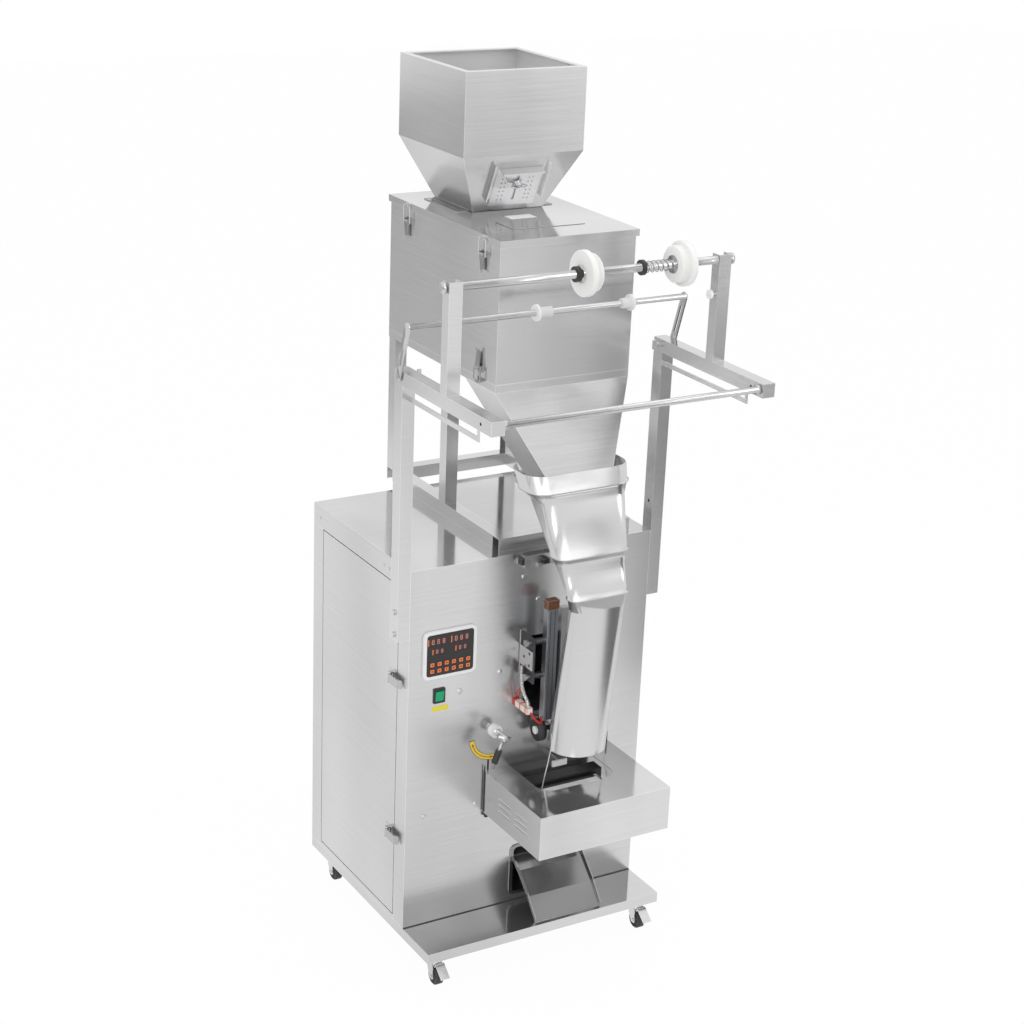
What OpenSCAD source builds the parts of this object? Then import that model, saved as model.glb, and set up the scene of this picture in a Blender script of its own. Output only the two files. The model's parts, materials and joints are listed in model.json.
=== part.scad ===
// Powder packaging machine: a weighing filler on a form, fill and seal cabinet.
// X runs across the cabinet, Y from the operator's side to the back, Z up from the floor.
// Inside the modules Y = 0 is the outer face of the cabinet's front panel.

/* [Cabinet] */
// Width of the cabinet
cab_w = 550; // [540:5:580]
// Depth of the cabinet
cab_d = 433; // [425:1:460]
// Height of the cabinet above the base plate
cab_h = 783; // [775:1:810]
// Thickness of the cabinet's sheet
sheet_t = 1.5; // [1.2:0.1:2]
// Depth of the front panel's folded side returns
side_return = 45; // [40:1:52]
// Height of the top cover's side flanges
cover_flange = 46; // [35:1:60]

/* [Base and casters] */
// Height of the base plate's top above the floor
base_h = 86; // [82:1:100]
// Height of the base plate's folded skirt
base_skirt = 22; // [16:1:28]
// How far the base plate reaches in front of the cabinet
base_front = 111; // [100:1:130]
// Diameter of a caster wheel
wheel_d = 38; // [34:1:40]
// Width of a caster wheel
wheel_w = 17; // [14:1:19]
// Distance from the cabinet's side to a caster's swivel axis
caster_side = 32; // [30:1:60]
// Distance from the base plate's front and rear edges to a swivel axis
caster_end = 39; // [38:1:60]
// Offset of a wheel's axle from its swivel axis
caster_trail = 16; // [12:1:17]

/* [Weigher] */
// Width of the weigher's housing
box_w = 305; // [300:1:320]
// Depth of the weigher's housing
box_d = 451; // [445:1:460]
// Height of the weigher's housing above its band
box_h = 270; // [260:1:290]
// Distance of the housing's left side from the cabinet's centre plane
box_left = 69.5; // [66:0.5:74]
// Distance of the housing's front from the front panel
box_front = 57; // [55:1:64]
// Height of the stand, from the cabinet's top to the band's lower edge
stand_h = 315; // [305:1:325]
// Width of the stand's channels
rail_w = 27; // [25:1:30]
// Height of the band under the housing
band_h = 16; // [14:1:20]
// Height of the lid's folded edge
lid_h = 14; // [12:1:18]
// How far the lid stands out past the housing
lid_over = 4; // [3.5:0.5:6]

/* [Hopper] */
// Width and depth of the hopper's mouth
hopper_w = 273; // [265:1:280]
// Height of the hopper's upright walls
hopper_wall_h = 166; // [150:1:180]
// Height of the hopper's tapered part
hopper_cone_h = 121; // [115:1:135]
// Width of the outlet at the lid
hopper_out = 160; // [150:1:165]

/* [Bag former] */
// Distance of the former's axis from the cabinet's centre plane
former_x = 59; // [57:0.5:61]
// Width of the former's upper rim
rim_w = 233; // [228:1:238]
// Width of the forming tube
tube_w = 118; // [114:1:120]
// Depth of the forming tube's round lower end
tube_d = 110; // [104:1:112]

/* [Film holder] */
// Width of the film holder's square channels
post_w = 27; // [25:1:29]
// How far the arms reach in front of the cabinet
arm_reach = 332; // [320:1:345]
// Height of the arms' top above the cabinet's foot
arm_top = 1184; // [1180:1:1200]
// Height of the uprights above the arms
upright_h = 207; // [200:1:215]
// Diameter of the film roll's shaft
film_shaft_d = 16; // [14:1:18]
// Diameter of the cones that hold the roll
cone_d = 86; // [76:1:90]
// Length of the dancer's levers
dancer_l = 106; // [100:1:112]

/* [Sealing unit] */
// Width of the guard
guard_w = 303; // [300:1:310]
// Depth of the guard
guard_d = 226; // [222:1:235]
// Height of the guard
guard_h = 93; // [88:1:96]
// Height of the guard's lower edge above the base plate
guard_z = 227; // [224:1:229]
// Length of the horizontal sealing jaws
jaw_l = 212; // [206:1:216]
// Travel of each horizontal jaw
jaw_travel = 17; // [14:0.5:18]
// Height of the vertical heater bar
bar_h = 240; // [225:1:245]
// Travel of the vertical heater bar
bar_travel = 8; // [6:1:12]

/* [Fits] */
// Radial clearance of shafts and pins in their bores
run_fit = 0.05; // [0.03:0.01:0.09]
// Gap between neighbouring pieces that move
move_gap = 0.5; // [0.4:0.1:1]
// Gap round the side door
door_gap = 2; // [1.8:0.1:2.5]

/* [Hidden] */
$fn = 48;

steel = "silver";
bright = "gainsboro";
dark = "dimgray";

half_w = cab_w / 2;
cab_top = base_h + cab_h;

// Weigher
box_x0 = -box_left;
box_x1 = box_x0 + box_w;
box_y1 = box_front + box_d;
box_mid_x = (box_x0 + box_x1) / 2;
band_z = cab_top + stand_h;
box_z = band_z + band_h;
box_top = box_z + box_h;
lid_top = box_top + lid_h;
lid_x0 = box_x0 - lid_over;
lid_x1 = box_x1 + lid_over;
lid_y0 = box_front - lid_over - 2;
lid_y1 = box_y1 + lid_over;
floor_z = box_z - sheet_t;
lid_t = sheet_t;

// Hopper
hop_x0 = box_mid_x - hopper_w / 2;
hop_x1 = hop_x0 + hopper_w;
hop_y1 = lid_y1;
hop_y0 = hop_y1 - hopper_w;
hop_mid_y = (hop_y0 + hop_y1) / 2;
cone_z = lid_top + hopper_cone_h;
hop_top = cone_z + hopper_wall_h;
out_x0 = box_mid_x - hopper_out / 2;
out_y0 = hop_mid_y - hopper_out / 2;
gate_tilt = atan2(out_y0 - hop_y0, hopper_cone_h);

// The part's origin lies midway between its foremost and rearmost points
mid_y = (hop_y1 - arm_reach) / 2;

// Film holder
arm_z1 = base_h + arm_top;
arm_z0 = arm_z1 - post_w;
post_foot_z = arm_z1 - 543;
post_d = 30;
upright_y = -157;
shaft_z = arm_z1 + upright_h - 11;
front_rod_y = 12 - arm_reach;
front_rod_z = arm_z1 - 12;
front_rod_d = 13;
dancer_y = 10;
dancer_z = arm_z0 + 16;
dancer_lean = 17;
dancer_bar_d = 12;
lever_x = half_w + post_w + 1;
lever_t = 3;
bar_y = dancer_y - dancer_l * sin(dancer_lean);
bar_z = dancer_z + dancer_l * cos(dancer_lean);

// Guard and jaws
guard_x0 = 54.5 - guard_w / 2;
guard_x1 = guard_x0 + guard_w;
guard_z0 = base_h + guard_z;
guard_z1 = guard_z0 + guard_h;
jaw_x = 54;
jaw_z = guard_z0 + 46;
jaw_h = 34;
pinch_y = -67;
jaw_face = jaw_travel + 1;
jaw_d = 38;
jaw_rod_x = 91;
jaw_rod_d = 12;
jaw_rod_end = -150;
guard_lift = 20;

// Vertical sealer
bar_x = 20;
bar_w = 25;
bar_d = 15;
bar_mid_y = -41;
bar_z0 = base_h + 431;
bar_z1 = bar_z0 + bar_h;
bar_pin_z = [bar_z0 + 101, bar_z0 + 174.5];
plate_x = -24;
plate_t = 3;
wheel_pull_d = 47;
pull_y = -31;
pull_z = base_h + 404;
pull_half = 50;

// Levers and doors
lever_pivot_x = -88;
lever_pivot_z = base_h + 418;
hinge_x = 8 - half_w;
hinge_y = cab_d - side_return - 13;
door_z0 = base_h + 12;
door_z1 = cab_top - cover_flange - door_gap;

// Casters
plate_z = base_h - sheet_t;
caster_x = half_w - caster_side;
caster_y = [caster_end - base_front, cab_d - caster_end];
axle_z = wheel_d / 2;

module at_origin() { translate([0, -mid_y, 0]) children(); }

module block(x0, x1, y0, y1, z0, z1)
  translate([x0, y0, z0]) cube([x1 - x0, y1 - y0, z1 - z0]);

module rod_x(x0, x1, y, z, r)
  translate([x0, y, z]) rotate([0, 90, 0]) cylinder(h = x1 - x0, r = r);

module rod_y(x, y0, y1, z, r)
  translate([x, y1, z]) rotate([90, 0, 0]) cylinder(h = y1 - y0, r = r);

module rod_z(x, y, z0, z1, r)
  translate([x, y, z0]) cylinder(h = z1 - z0, r = r);

// A rounded rectangle made of straight and round pieces
module rounded(w, h, r) {
  square([w - 2 * r, h], center = true);
  square([w, h - 2 * r], center = true);
  for (i = [-1, 1], j = [-1, 1])
    translate([i * (w / 2 - r), j * (h / 2 - r)]) circle(r = r);
}

// A rounded block that lies flat on the front panel
module panel_block(x, z, w, h, r, y0, y1)
  translate([x, y1, z]) rotate([90, 0, 0]) linear_extrude(y1 - y0) rounded(w, h, r);

module mirrored_x() {
  children();
  mirror([1, 0, 0]) children();
}

// Cabinet

module base_plate() color(bright) at_origin() {
  difference() {
    block(-half_w, half_w, -base_front, cab_d, base_h - base_skirt, base_h);
    block(sheet_t - half_w, half_w - sheet_t, sheet_t - base_front, cab_d - sheet_t,
          base_h - base_skirt - 1, plate_z);
  }
  mirrored_x() for (y = caster_y) caster_plate(caster_x, y);
}

module caster_plate(x, y) {
  plate = 46;
  difference() {
    union() {
      translate([x, y, plate_z - 2.5]) linear_extrude(2.5) rounded(plate, plate, 5);
      rod_z(x, y, plate_z - 9, plate_z - 2.5, 15);
    }
    rod_z(x, y, plate_z - 10, plate_z - 3, 5 + run_fit);
  }
  for (i = [-1, 1], j = [-1, 1])
    rod_z(x + i * 17, y + j * 17, plate_z - 4.5, plate_z - 2.5, 3.5);
}

louvre_w = 90;
louvre_rows = 6;

module cabinet_shell() color(steel) at_origin() {
  top = cab_top - sheet_t;
  flange = cab_top - cover_flange;
  // Right side, rear wall and the strip behind the side door
  difference() {
    union() {
      block(half_w - sheet_t, half_w, side_return, cab_d, base_h, flange);
      block(-half_w, half_w, cab_d - sheet_t, cab_d, base_h, top);
      block(-half_w, sheet_t - half_w, cab_d - side_return, cab_d, base_h, flange);
    }
    for (side = [-1, 1], row = [0 : louvre_rows - 1])
      translate([side * 130, cab_d, base_h + 560 + row * 18]) rotate([90, 0, 0])
        translate([0, 0, -1]) linear_extrude(sheet_t + 2) rounded(louvre_w, 5, 2.4);
    rod_y(cable_x, cab_d - sheet_t - 1, cab_d + 1, cable_z, 9);
  }
  // Sill and head of the door opening
  block(-half_w, sheet_t - half_w, side_return, cab_d - side_return, base_h, door_z0 - door_gap);
  // Cable gland
  difference() {
    union() {
      rod_y(cable_x, cab_d - 8, cab_d, cable_z, 9 - 0.2);
      rod_y(cable_x, cab_d, cab_d + 3, cable_z, 12);
      rod_y(cable_x, cab_d + 3, cab_d + 4, cable_z, 9);
    }
    rod_y(cable_x, cab_d - 9, cab_d + 5, cable_z, cable_r);
  }
  // Mechanism shelf with its folded edges
  difference() {
    block(shelf_x0, half_w - sheet_t, 110, cab_d - sheet_t, shelf_z - 20, shelf_z);
    block(shelf_x0 + 2, half_w - 4, 112, cab_d - 4, shelf_z - 21, shelf_z - 2);
  }
  // Hinge lugs of the side door
  for (z = door_hinges) hinge_lug(z);
}

cable_x = -190;
cable_z = base_h + 70;
cable_r = 4;
shelf_z = base_h + 190;
shelf_x0 = 24 - half_w;
door_hinges = [door_z0 + 90, door_z1 - 90];
hinge_pin_r = 3;

module hinge_lug(z) difference() {
  union() {
    rod_z(hinge_x, hinge_y, z, z + 8, 6);
    block(hinge_x, hinge_x + 19, hinge_y - 3, hinge_y + 1.5, z, z + 8);
    block(hinge_x + 14, hinge_x + 19, hinge_y - 3, cab_d - sheet_t, z, z + 8);
  }
  rod_z(hinge_x, hinge_y, z - 1, z + 9, hinge_pin_r + run_fit);
}

controller_x = -186;
controller_z = base_h + 600;
controller_w = 118;
controller_h = 101;
rocker_x = -206;
rocker_z = base_h + 510;
mech_x0 = -13;
mech_x1 = 50;
chute_x0 = -21;
chute_x1 = 138;
hook_x = guard_w / 2 - 9;

module front_panel() color(steel) at_origin() {
  difference() {
    union() {
      block(-half_w, half_w, 0, sheet_t, base_h, cab_top);
      mirrored_x() block(-half_w, sheet_t - half_w, sheet_t, side_return,
                         base_h, cab_top - cover_flange);
    }
    panel_block(controller_x, controller_z, controller_w - 20, controller_h - 20, 4, -1, 3);
    panel_block(rocker_x, rocker_z, 22, 28, 1, -1, 3);
    // Opening for the vertical sealer's arms
    panel_block((mech_x0 + mech_x1) / 2, base_h + 515, mech_x1 - mech_x0, 170, 6, -1, 3);
    // Opening over the discharge chute
    panel_block((chute_x0 + chute_x1) / 2, chute_mid_z, chute_x1 - chute_x0 + 2, chute_open_h,
                10, -1, 3);
    rod_y(lever_pivot_x, -1, 3, lever_pivot_z, lever_shaft_r + run_fit);
    for (i = [-1, 1]) {
      rod_y(jaw_x + i * jaw_rod_x, -1, 3, jaw_z, jaw_rod_d / 2 + 0.02);
      // Slots that take the guard's hooks
      x = (guard_x0 + guard_x1) / 2 + i * hook_x;
      block(x - 2, x + 2, -1, 3, guard_z1 - 16, guard_z1 + guard_lift + 6);
    }
  }
}

lever_shaft_r = 7;

module top_cover() color(bright) at_origin() difference() {
  union() {
    block(-half_w, half_w, sheet_t, cab_d - sheet_t, cab_top - sheet_t, cab_top);
    mirrored_x() block(half_w - sheet_t, half_w, sheet_t, cab_d - sheet_t,
                       cab_top - cover_flange, cab_top);
  }
  // Cable hole under the weigher's stand
  rod_z(box_x1 - 37, cab_d - 29, cab_top - 3, cab_top + 1, 9);
}

module side_door() color(bright) at_origin() {
  y0 = side_return + door_gap;
  y1 = cab_d - side_return - door_gap;
  fold = 12;
  difference() {
    block(-half_w, fold - half_w, y0, y1, door_z0, door_z1);
    block(sheet_t - half_w, fold + 1 - half_w, y0 + sheet_t, y1 - sheet_t,
          door_z0 + sheet_t, door_z1 - sheet_t);
    // The fold is cut away round the hinge lugs
    for (z = door_hinges)
      block(sheet_t - half_w, fold + 1 - half_w, hinge_y - 15, y1 + 1, z - 2, z + 10);
  }
  for (z = door_hinges) {
    rod_z(hinge_x, hinge_y, z - 6, z + 14, hinge_pin_r);
    for (s = [-6, 8 + move_gap])
      translate([0, 0, z + s]) difference() {
        block(sheet_t - half_w, hinge_x + 5, hinge_y - 26, hinge_y + 5, 0, 6 - move_gap);
        rod_z(hinge_x, hinge_y, -1, 7, hinge_pin_r - 0.01);
      }
  }
  for (z = door_latch_z) door_latch_base(z);
}

// A draw latch: its lever turns about a pin in two ears
latch_pin_r = 1.6;
latch_w = 16;

module draw_lever(len) {
  tip = len + 6;
  half = latch_w / 2;
  intersection() {
    rotate([90, 0, 0]) linear_extrude(latch_w, center = true) difference() {
      union() {
        circle(r = 3.4);
        translate([-2.4, -6]) square([4.4, 6]);
        polygon([[-2.4, -2], [0, -2], [0, -len], [-3.8, -tip], [-5.6, 1 - tip], [-2.4, -len]]);
      }
      circle(r = latch_pin_r + run_fit);
    }
    // The lever narrows towards its tip
    rotate([90, 0, 90]) linear_extrude(20, center = true)
      polygon([[-half, 4], [-half, -5], [-0.7 * half, -14], [-2, -tip - 1],
               [2, -tip - 1], [0.7 * half, -14], [half, -5], [half, 4]]);
  }
}

module latch_base(len) {
  block(4.5, 6, -latch_w / 2 - 4, latch_w / 2 + 4, -len, 8);
  for (s = [-1, 1]) {
    y = s * (latch_w / 2 + 1.6);
    block(-2, 4.5, y - 1, y + 1, -5, 5);
  }
  rod_y(0, -latch_w / 2 - 3, latch_w / 2 + 3, 0, latch_pin_r);
}

// The wire loop of a draw latch and the hook it pulls on. The hook's plate lies on a
// wall whose face is at x = seat.
module latch_loop(rise, seat) {
  for (s = [-1, 1])
    rod_z(-1, s * (latch_w / 2 + 4.6), -2, rise, 1.2);
  rod_y(-1, -latch_w / 2 - 5.8, latch_w / 2 + 5.8, rise, 1.2);
  block(-3, seat, -5, 5, rise + 1, rise + 5);
  block(-3, -2, -5, 5, rise - 2, rise + 1);
  block(seat - 1.5, seat, -7, 7, rise - 6, rise + 5);
}

// Places of the latches on the housing's left side: the pin's x, y and z
latch_x = box_x0 - 6;
lid_latch_y = [box_front + 58, box_front + 369];
lid_latch_z = box_top - 24;
box_latch_y = box_front + 62;
box_latch_z = box_z + 20;
lid_latch_l = 30;
box_latch_l = 34;

module latch_bases() color(bright) at_origin() {
  for (y = lid_latch_y) translate([latch_x, y, lid_latch_z]) latch_base(lid_latch_l);
  translate([latch_x, box_latch_y, box_latch_z]) mirror([0, 0, 1]) latch_base(box_latch_l);
  // The lower latch's loop hooks on the band
  translate([latch_x, box_latch_y, box_latch_z]) mirror([0, 0, 1]) latch_loop(24, 6);
}

module lid_latch(i) color(bright) at_origin()
  translate([latch_x, lid_latch_y[i], lid_latch_z]) draw_lever(lid_latch_l);

module lid_latch_front() lid_latch(0);
module lid_latch_rear() lid_latch(1);

module box_latch() color(bright) at_origin()
  translate([latch_x, box_latch_y, box_latch_z]) mirror([0, 0, 1]) draw_lever(box_latch_l);

// A sash latch on the side door, turned about an upright pin
door_latch_y = side_return + 20;
door_latch_z = [base_h + 193, base_h + 537];

module door_latch(z) color(bright) at_origin()
  translate([-half_w - 7, door_latch_y, z - 9]) linear_extrude(18) difference() {
    union() {
      circle(r = 4.5);
      translate([-4.2, -34]) square([2.8, 34]);
      translate([-1.2, -34]) circle(r = 3.3);
      translate([-3, -34]) rotate(40) translate([-2.2, -12]) square([2.2, 12]);
    }
    circle(r = 2 + run_fit);
  }

module door_latch_lower() door_latch(door_latch_z[0]);
module door_latch_upper() door_latch(door_latch_z[1]);

// Fixed part of a door latch, carried by the door
module door_latch_base(z) translate([-half_w - 7, door_latch_y, z]) {
  rod_z(0, 0, -13, 13, 2);
  for (s = [-1, 1]) translate([0, 0, s * 11.5 - 1.5]) linear_extrude(3) {
    circle(r = 4.5);
    translate([0, -4.5]) square([7, 9]);
  }
  block(5.5, 7, -8, 22, -13, 13);
}

// Weigher

module channel_rail(len) rotate([90, 0, 90]) linear_extrude(len) difference() {
  square([rail_w, rail_w]);
  translate([sheet_t, -1]) square([rail_w - 2 * sheet_t, rail_w - sheet_t + 1]);
}

leg_y = [245, box_y1 - rail_w - 3];
ring_y0 = 21;
ring_y1 = box_y1 - 3;

module stand_leg(x, y, open_left) difference() {
  block(x, x + rail_w, y, y + rail_w, cab_top + rail_w, band_z);
  dx = open_left ? -1 : sheet_t;
  block(x + dx, x + rail_w - sheet_t + (open_left ? 0 : sheet_t + 1),
        y + sheet_t, y + rail_w - sheet_t, cab_top + rail_w - 1, band_z + 1);
}

module scale_stand() color(steel) at_origin() {
  // Ring on the cabinet's top
  translate([box_x0, ring_y0, cab_top]) channel_rail(box_w);
  translate([box_x0, ring_y1 - rail_w, cab_top]) channel_rail(box_w);
  for (x = [box_x0 + rail_w, box_x1])
    translate([x, ring_y0 + rail_w, cab_top]) rotate([0, 0, 90])
      channel_rail(ring_y1 - ring_y0 - 2 * rail_w);
  // Legs
  for (y = leg_y) {
    stand_leg(box_x0, y, false);
    stand_leg(box_x1 - rail_w, y, true);
  }
  // Band and floor under the housing
  difference() {
    block(box_x0, box_x1, box_front, box_y1, band_z, box_z);
    block(box_x0 + sheet_t, box_x1 - sheet_t, box_front + sheet_t, box_y1 - sheet_t,
          band_z - 1, floor_z);
    block(box_x0 + 8, box_x1 - 8, box_front + 8, funnel_y1 - 6, band_z, box_z + 1);
  }
}

module scale_box() color(steel) at_origin() difference() {
  block(box_x0, box_x1, box_front, box_y1, box_z, lid_top - lid_t);
  block(box_x0 + sheet_t, box_x1 - sheet_t, box_front + sheet_t, box_y1 - sheet_t,
        box_z - 1, lid_top);
}

// Inspection plate in the lid, over its hole
window_x = box_mid_x - 2.5;
window_y = box_front + 107;
window_w = 160;
window_d = 71;
window_lap = 9;

module lid() color(bright) at_origin() {
  difference() {
    block(lid_x0, lid_x1, lid_y0, lid_y1, box_top + 0.3, lid_top);
    block(lid_x0 + lid_t, lid_x1 - lid_t, lid_y0 + lid_t, lid_y1 - lid_t,
          box_top - 1, lid_top - lid_t);
    block(out_x0 - 1, out_x0 + hopper_out + 1, out_y0 - 1, out_y0 + hopper_out + 1,
          lid_top - 5, lid_top + 1);
    translate([window_x, window_y, lid_top - 5]) linear_extrude(6)
      rounded(window_w - 2 * window_lap, window_d - 2 * window_lap, 4);
  }
  // Loops of the two lid latches
  for (y = lid_latch_y) translate([latch_x, y, lid_latch_z])
    latch_loop(lid_latch_rise, 2);
}

lid_latch_rise = lid_top - 7 - lid_latch_z;

module inspection_window() color(bright) at_origin() {
  lap = window_lap + 0.4;
  translate([window_x, window_y, lid_top]) linear_extrude(1.2) rounded(window_w, window_d, 2);
  translate([window_x, window_y, lid_top - lid_t]) linear_extrude(lid_t)
    rounded(window_w - 2 * lap, window_d - 2 * lap, 3.6);
}

// The hopper's four walls and its tapered lower part
module hopper() color(steel) at_origin() {
  t = sheet_t;
  difference() {
    union() {
      difference() {
        block(hop_x0, hop_x1, hop_y0, hop_y1, cone_z, hop_top);
        block(hop_x0 + t, hop_x1 - t, hop_y0 + t, hop_y1 - t, cone_z - 1, hop_top + 1);
      }
      difference() {
        hopper_cone(0);
        hopper_cone(t);
      }
    }
    // Tapped hole of the gate's screw
    on_slope() translate([0, 0, -6]) cylinder(h = 12, r = screw_r + run_fit);
  }
  // Folded rim
  difference() {
    block(hop_x0, hop_x1, hop_y0, hop_y1, hop_top - 2, hop_top);
    block(hop_x0 + rim_fold, hop_x1 - rim_fold, hop_y0 + rim_fold, hop_y1 - rim_fold,
          hop_top - 3, hop_top + 1);
  }
  // Feet on the lid
  for (s = [-1, 1]) difference() {
    x = box_mid_x + s * (hopper_out / 2 + 15);
    block(x - 16, x + 16, out_y0 + 12, out_y0 + hopper_out - 12, lid_top, lid_top + 2);
    for (j = [30, hopper_out - 30])
      rod_z(x + s * 6, out_y0 + j, lid_top - 1, lid_top + 3, 3);
  }
  // Guides of the gate
  on_slope() for (s = [-1, 1]) translate([s * gate_guide, 0, 0]) {
    translate([-guide_w / 2, -35, -0.5]) cube([guide_w, guide_l, 2.5]);
    translate([s > 0 ? guide_w / 2 - 2 : -guide_w / 2, -35, 2]) cube([2, guide_l, 8]);
  }
}

module hopper_cone(inset) hull() {
  translate([0, 0, cone_z - 0.01]) linear_extrude(0.01)
    translate([hop_x0 + inset, hop_y0 + inset]) square(hopper_w - 2 * inset);
  translate([0, 0, lid_top + 0.1 - inset / 10]) linear_extrude(0.01)
    translate([out_x0 + inset, out_y0 + inset]) square(hopper_out - 2 * inset);
}

// The slope frame lies on the front face of the taper: X across, Y up the slope
screw_r = 3;
gate_guide = 58;
guide_w = 12;
guide_l = 85;
rim_fold = 13;

module on_slope() translate([box_mid_x, (hop_y0 + out_y0) / 2, (lid_top + cone_z) / 2])
  rotate([90 + gate_tilt, 0, 0]) children();

module hopper_gate() color(bright) at_origin() on_slope() difference() {
  half = gate_guide - guide_w / 2 - move_gap;
  union() {
    translate([-half, -52, 0.4]) cube([2 * half, 88, 2]);
    // Folded handle at the upper edge
    translate([4 - half, 34, 0.4]) cube([2 * half - 8, 2, 20]);
    translate([4 - half, 32, 18.4]) cube([2 * half - 8, 4, 2]);
  }
  translate([-screw_r - 0.3, -40, -1]) cube([2 * screw_r + 0.6, 70, 5]);
}

module gate_screw() color(bright) at_origin() on_slope() {
  cylinder(h = 8, r = screw_r);
  translate([0, 0, -4]) cylinder(h = 4, r = screw_r);
  translate([0, 0, 2.8]) cylinder(h = 1.6, r = 7);
  translate([0, 0, 4.4]) cylinder(h = 8, r = 5);
  for (s = [-1, 1]) translate([s * 10, 1.5, 12]) rotate([90, 0, 0]) {
    cylinder(h = 3, r = 6);
    translate([s > 0 ? -7 : -1, -6, 0]) cube([8, 6, 3]);
  }
}

// Vibrating feeder tray with its drive under it
tray_z = box_z + 118;

module feeder() color(steel) at_origin() {
  x0 = box_mid_x - 42;
  x1 = box_mid_x + 42;
  difference() {
    block(x0, x1, 150, 470, tray_z, tray_z + 34);
    block(x0 + sheet_t, x1 - sheet_t, 149, 468, tray_z + sheet_t, tray_z + 35);
  }
  block(box_mid_x - 34, box_mid_x + 34, 300, 420, box_z + 60, box_z + 104);
  for (y = [306, 402]) block(box_mid_x - 30, box_mid_x + 30, y, y + 12, box_z + 104, tray_z);
  block(box_mid_x - 40, box_mid_x + 40, 280, 440, box_z, box_z + 18);
  for (i = [-1, 1], y = [300, 420]) rod_z(box_mid_x + i * 30, y, box_z + 18, box_z + 60, 7);
}

// Weigh bucket on its load cell
bucket_x0 = box_mid_x - 55;
bucket_x1 = box_mid_x + 55;
bucket_y0 = 76;
bucket_y1 = 160;
bucket_z = box_z + 12;

module weigher() color(steel) at_origin() {
  difference() {
    block(bucket_x0, bucket_x1, bucket_y0, bucket_y1, bucket_z, bucket_z + 92);
    block(bucket_x0 + 1.2, bucket_x1 - 1.2, bucket_y0 + 1.2, bucket_y1 - 1.2,
          bucket_z - 1, bucket_z + 93);
  }
  for (s = [-1, 1]) difference() {
    x = box_mid_x + s * (bucket_x1 - bucket_x0 + 3) / 2;
    block(x - 1.5, x + 1.5, bucket_y1 - 14, bucket_y1 + 7, bucket_z + 2, bucket_z + 24);
    rod_x(x - 2, x + 2, flap_y, flap_z, 3 + run_fit);
  }
  // Arm and load cell
  block(box_mid_x - 15, box_mid_x + 15, bucket_y1, 205, bucket_z + 50, bucket_z + 56);
  block(box_mid_x - 15, box_mid_x + 15, 190, 205, bucket_z + 40, bucket_z + 50);
  block(box_mid_x - 15, box_mid_x + 15, 190, 265, bucket_z + 14, bucket_z + 40);
  block(box_mid_x - 15, box_mid_x + 15, 250, 265, box_z, bucket_z + 14);
}

flap_y = bucket_y1 + 3;
flap_z = bucket_z + 6;

module bucket_flap() color(bright) at_origin() {
  rod_x(bucket_x0 - 6, bucket_x1 + 6, flap_y, flap_z, 3);
  block(bucket_x0 + 8, bucket_x1 - 8, flap_y + 0.5, flap_y + 3, bucket_z - 2, flap_z);
  block(bucket_x0 - 1, bucket_x1 + 1, bucket_y0 - 1, flap_y + 3, bucket_z - 2.3, bucket_z - 0.3);
}

// Funnel under the housing. Its last part narrows again, inside the bag former.
funnel_y1 = box_front + 120;
spout_x0 = former_x - 53;
spout_x1 = former_x + 53;
spout_y0 = -84;
spout_y1 = 24;
spout_z = band_z - 193;
outlet_z = spout_z - 27;
outlet_y0 = -92;
outlet_y1 = -36;

module slab(x0, x1, y0, y1, z, inset)
  block(x0 + inset, x1 - inset, y0 + inset, y1 - inset, z - 0.01, z);

module funnel() color(steel) at_origin() {
  t = sheet_t;
  difference() {
    funnel_upper(0);
    funnel_upper(t);
  }
  difference() {
    funnel_lower(0);
    funnel_lower(t);
  }
}

module funnel_upper(inset) hull() {
  slab(box_x0, box_x1, box_front, funnel_y1, band_z, inset);
  slab(spout_x0, spout_x1, spout_y0, spout_y1, spout_z, inset);
}

module funnel_lower(inset) hull() {
  slab(spout_x0, spout_x1, spout_y0, spout_y1, spout_z, inset);
  slab(spout_x0, spout_x1, outlet_y0, outlet_y1, outlet_z - inset / 10, inset);
}

// Bag former. Each section is a rounded rectangle: height above the base plate,
// width, front face, depth and corner radius.
rim_sec = [962, rim_w, -70, 98, 38];
lip1_sec = [931, rim_w - 8, -83, 91, 38];
bend1_sec = [910, rim_w - 45, -102, 98, 36];
lip2_sec = [811, rim_w - 70, -132, 53, 24];
bend2_sec = [786.5, rim_w - 89, -139, 49, 22];
lip3_sec = [733.5, rim_w - 104, -159, 33, 15];
neck_sec = [707.5, tube_w, -162, 37, 16];
foot_sec = [388, tube_w, -152, tube_d, 54];
collar_t = 2;
lip_out = 3;
lip_t = 2.4;
corner_n = 8;
// The funnel's cut-outs in the open back: half widths, and heights above the base plate
back_cut = [64, 94];
back_cut_z = [876, 925, 970];

// The points of a section, drawn grown by g and moved up by dz
function ring(s, g = 0, dz = 0) = let (r = s[4] + g, a = s[1] / 2 + g - r, b = s[3] / 2 + g - r)
  [for (q = [0 : 3], k = [0 : corner_n]) let (
    t = 90 * (q + k / corner_n), i = q == 0 || q == 3 ? 1 : -1, j = q < 2 ? 1 : -1)
    [former_x + i * a + r * cos(t), s[2] + s[3] / 2 + j * b + r * sin(t), base_h + s[0] + dz]];

// A wall through closed rings of points, down its outside and back up its inside
module ring_wall(rings) {
  n = len(rings[0]);
  m = len(rings);
  polyhedron([for (r = rings) each r], [for (i = [0 : m - 1], k = [0 : n - 1])
    let (j = (i + 1) % m, q = (k + 1) % n)
    each [[i * n + k, j * n + q, j * n + k], [i * n + k, i * n + q, j * n + q]]]);
}

// A lip that stands out where one cup of the former sits in the next
function lip(s) = [ring(s, 0, 0.2), ring(s, lip_out, 0.1), ring(s, lip_out, -lip_t),
                   ring(s, 0, -lip_t - 0.1)];

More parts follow.
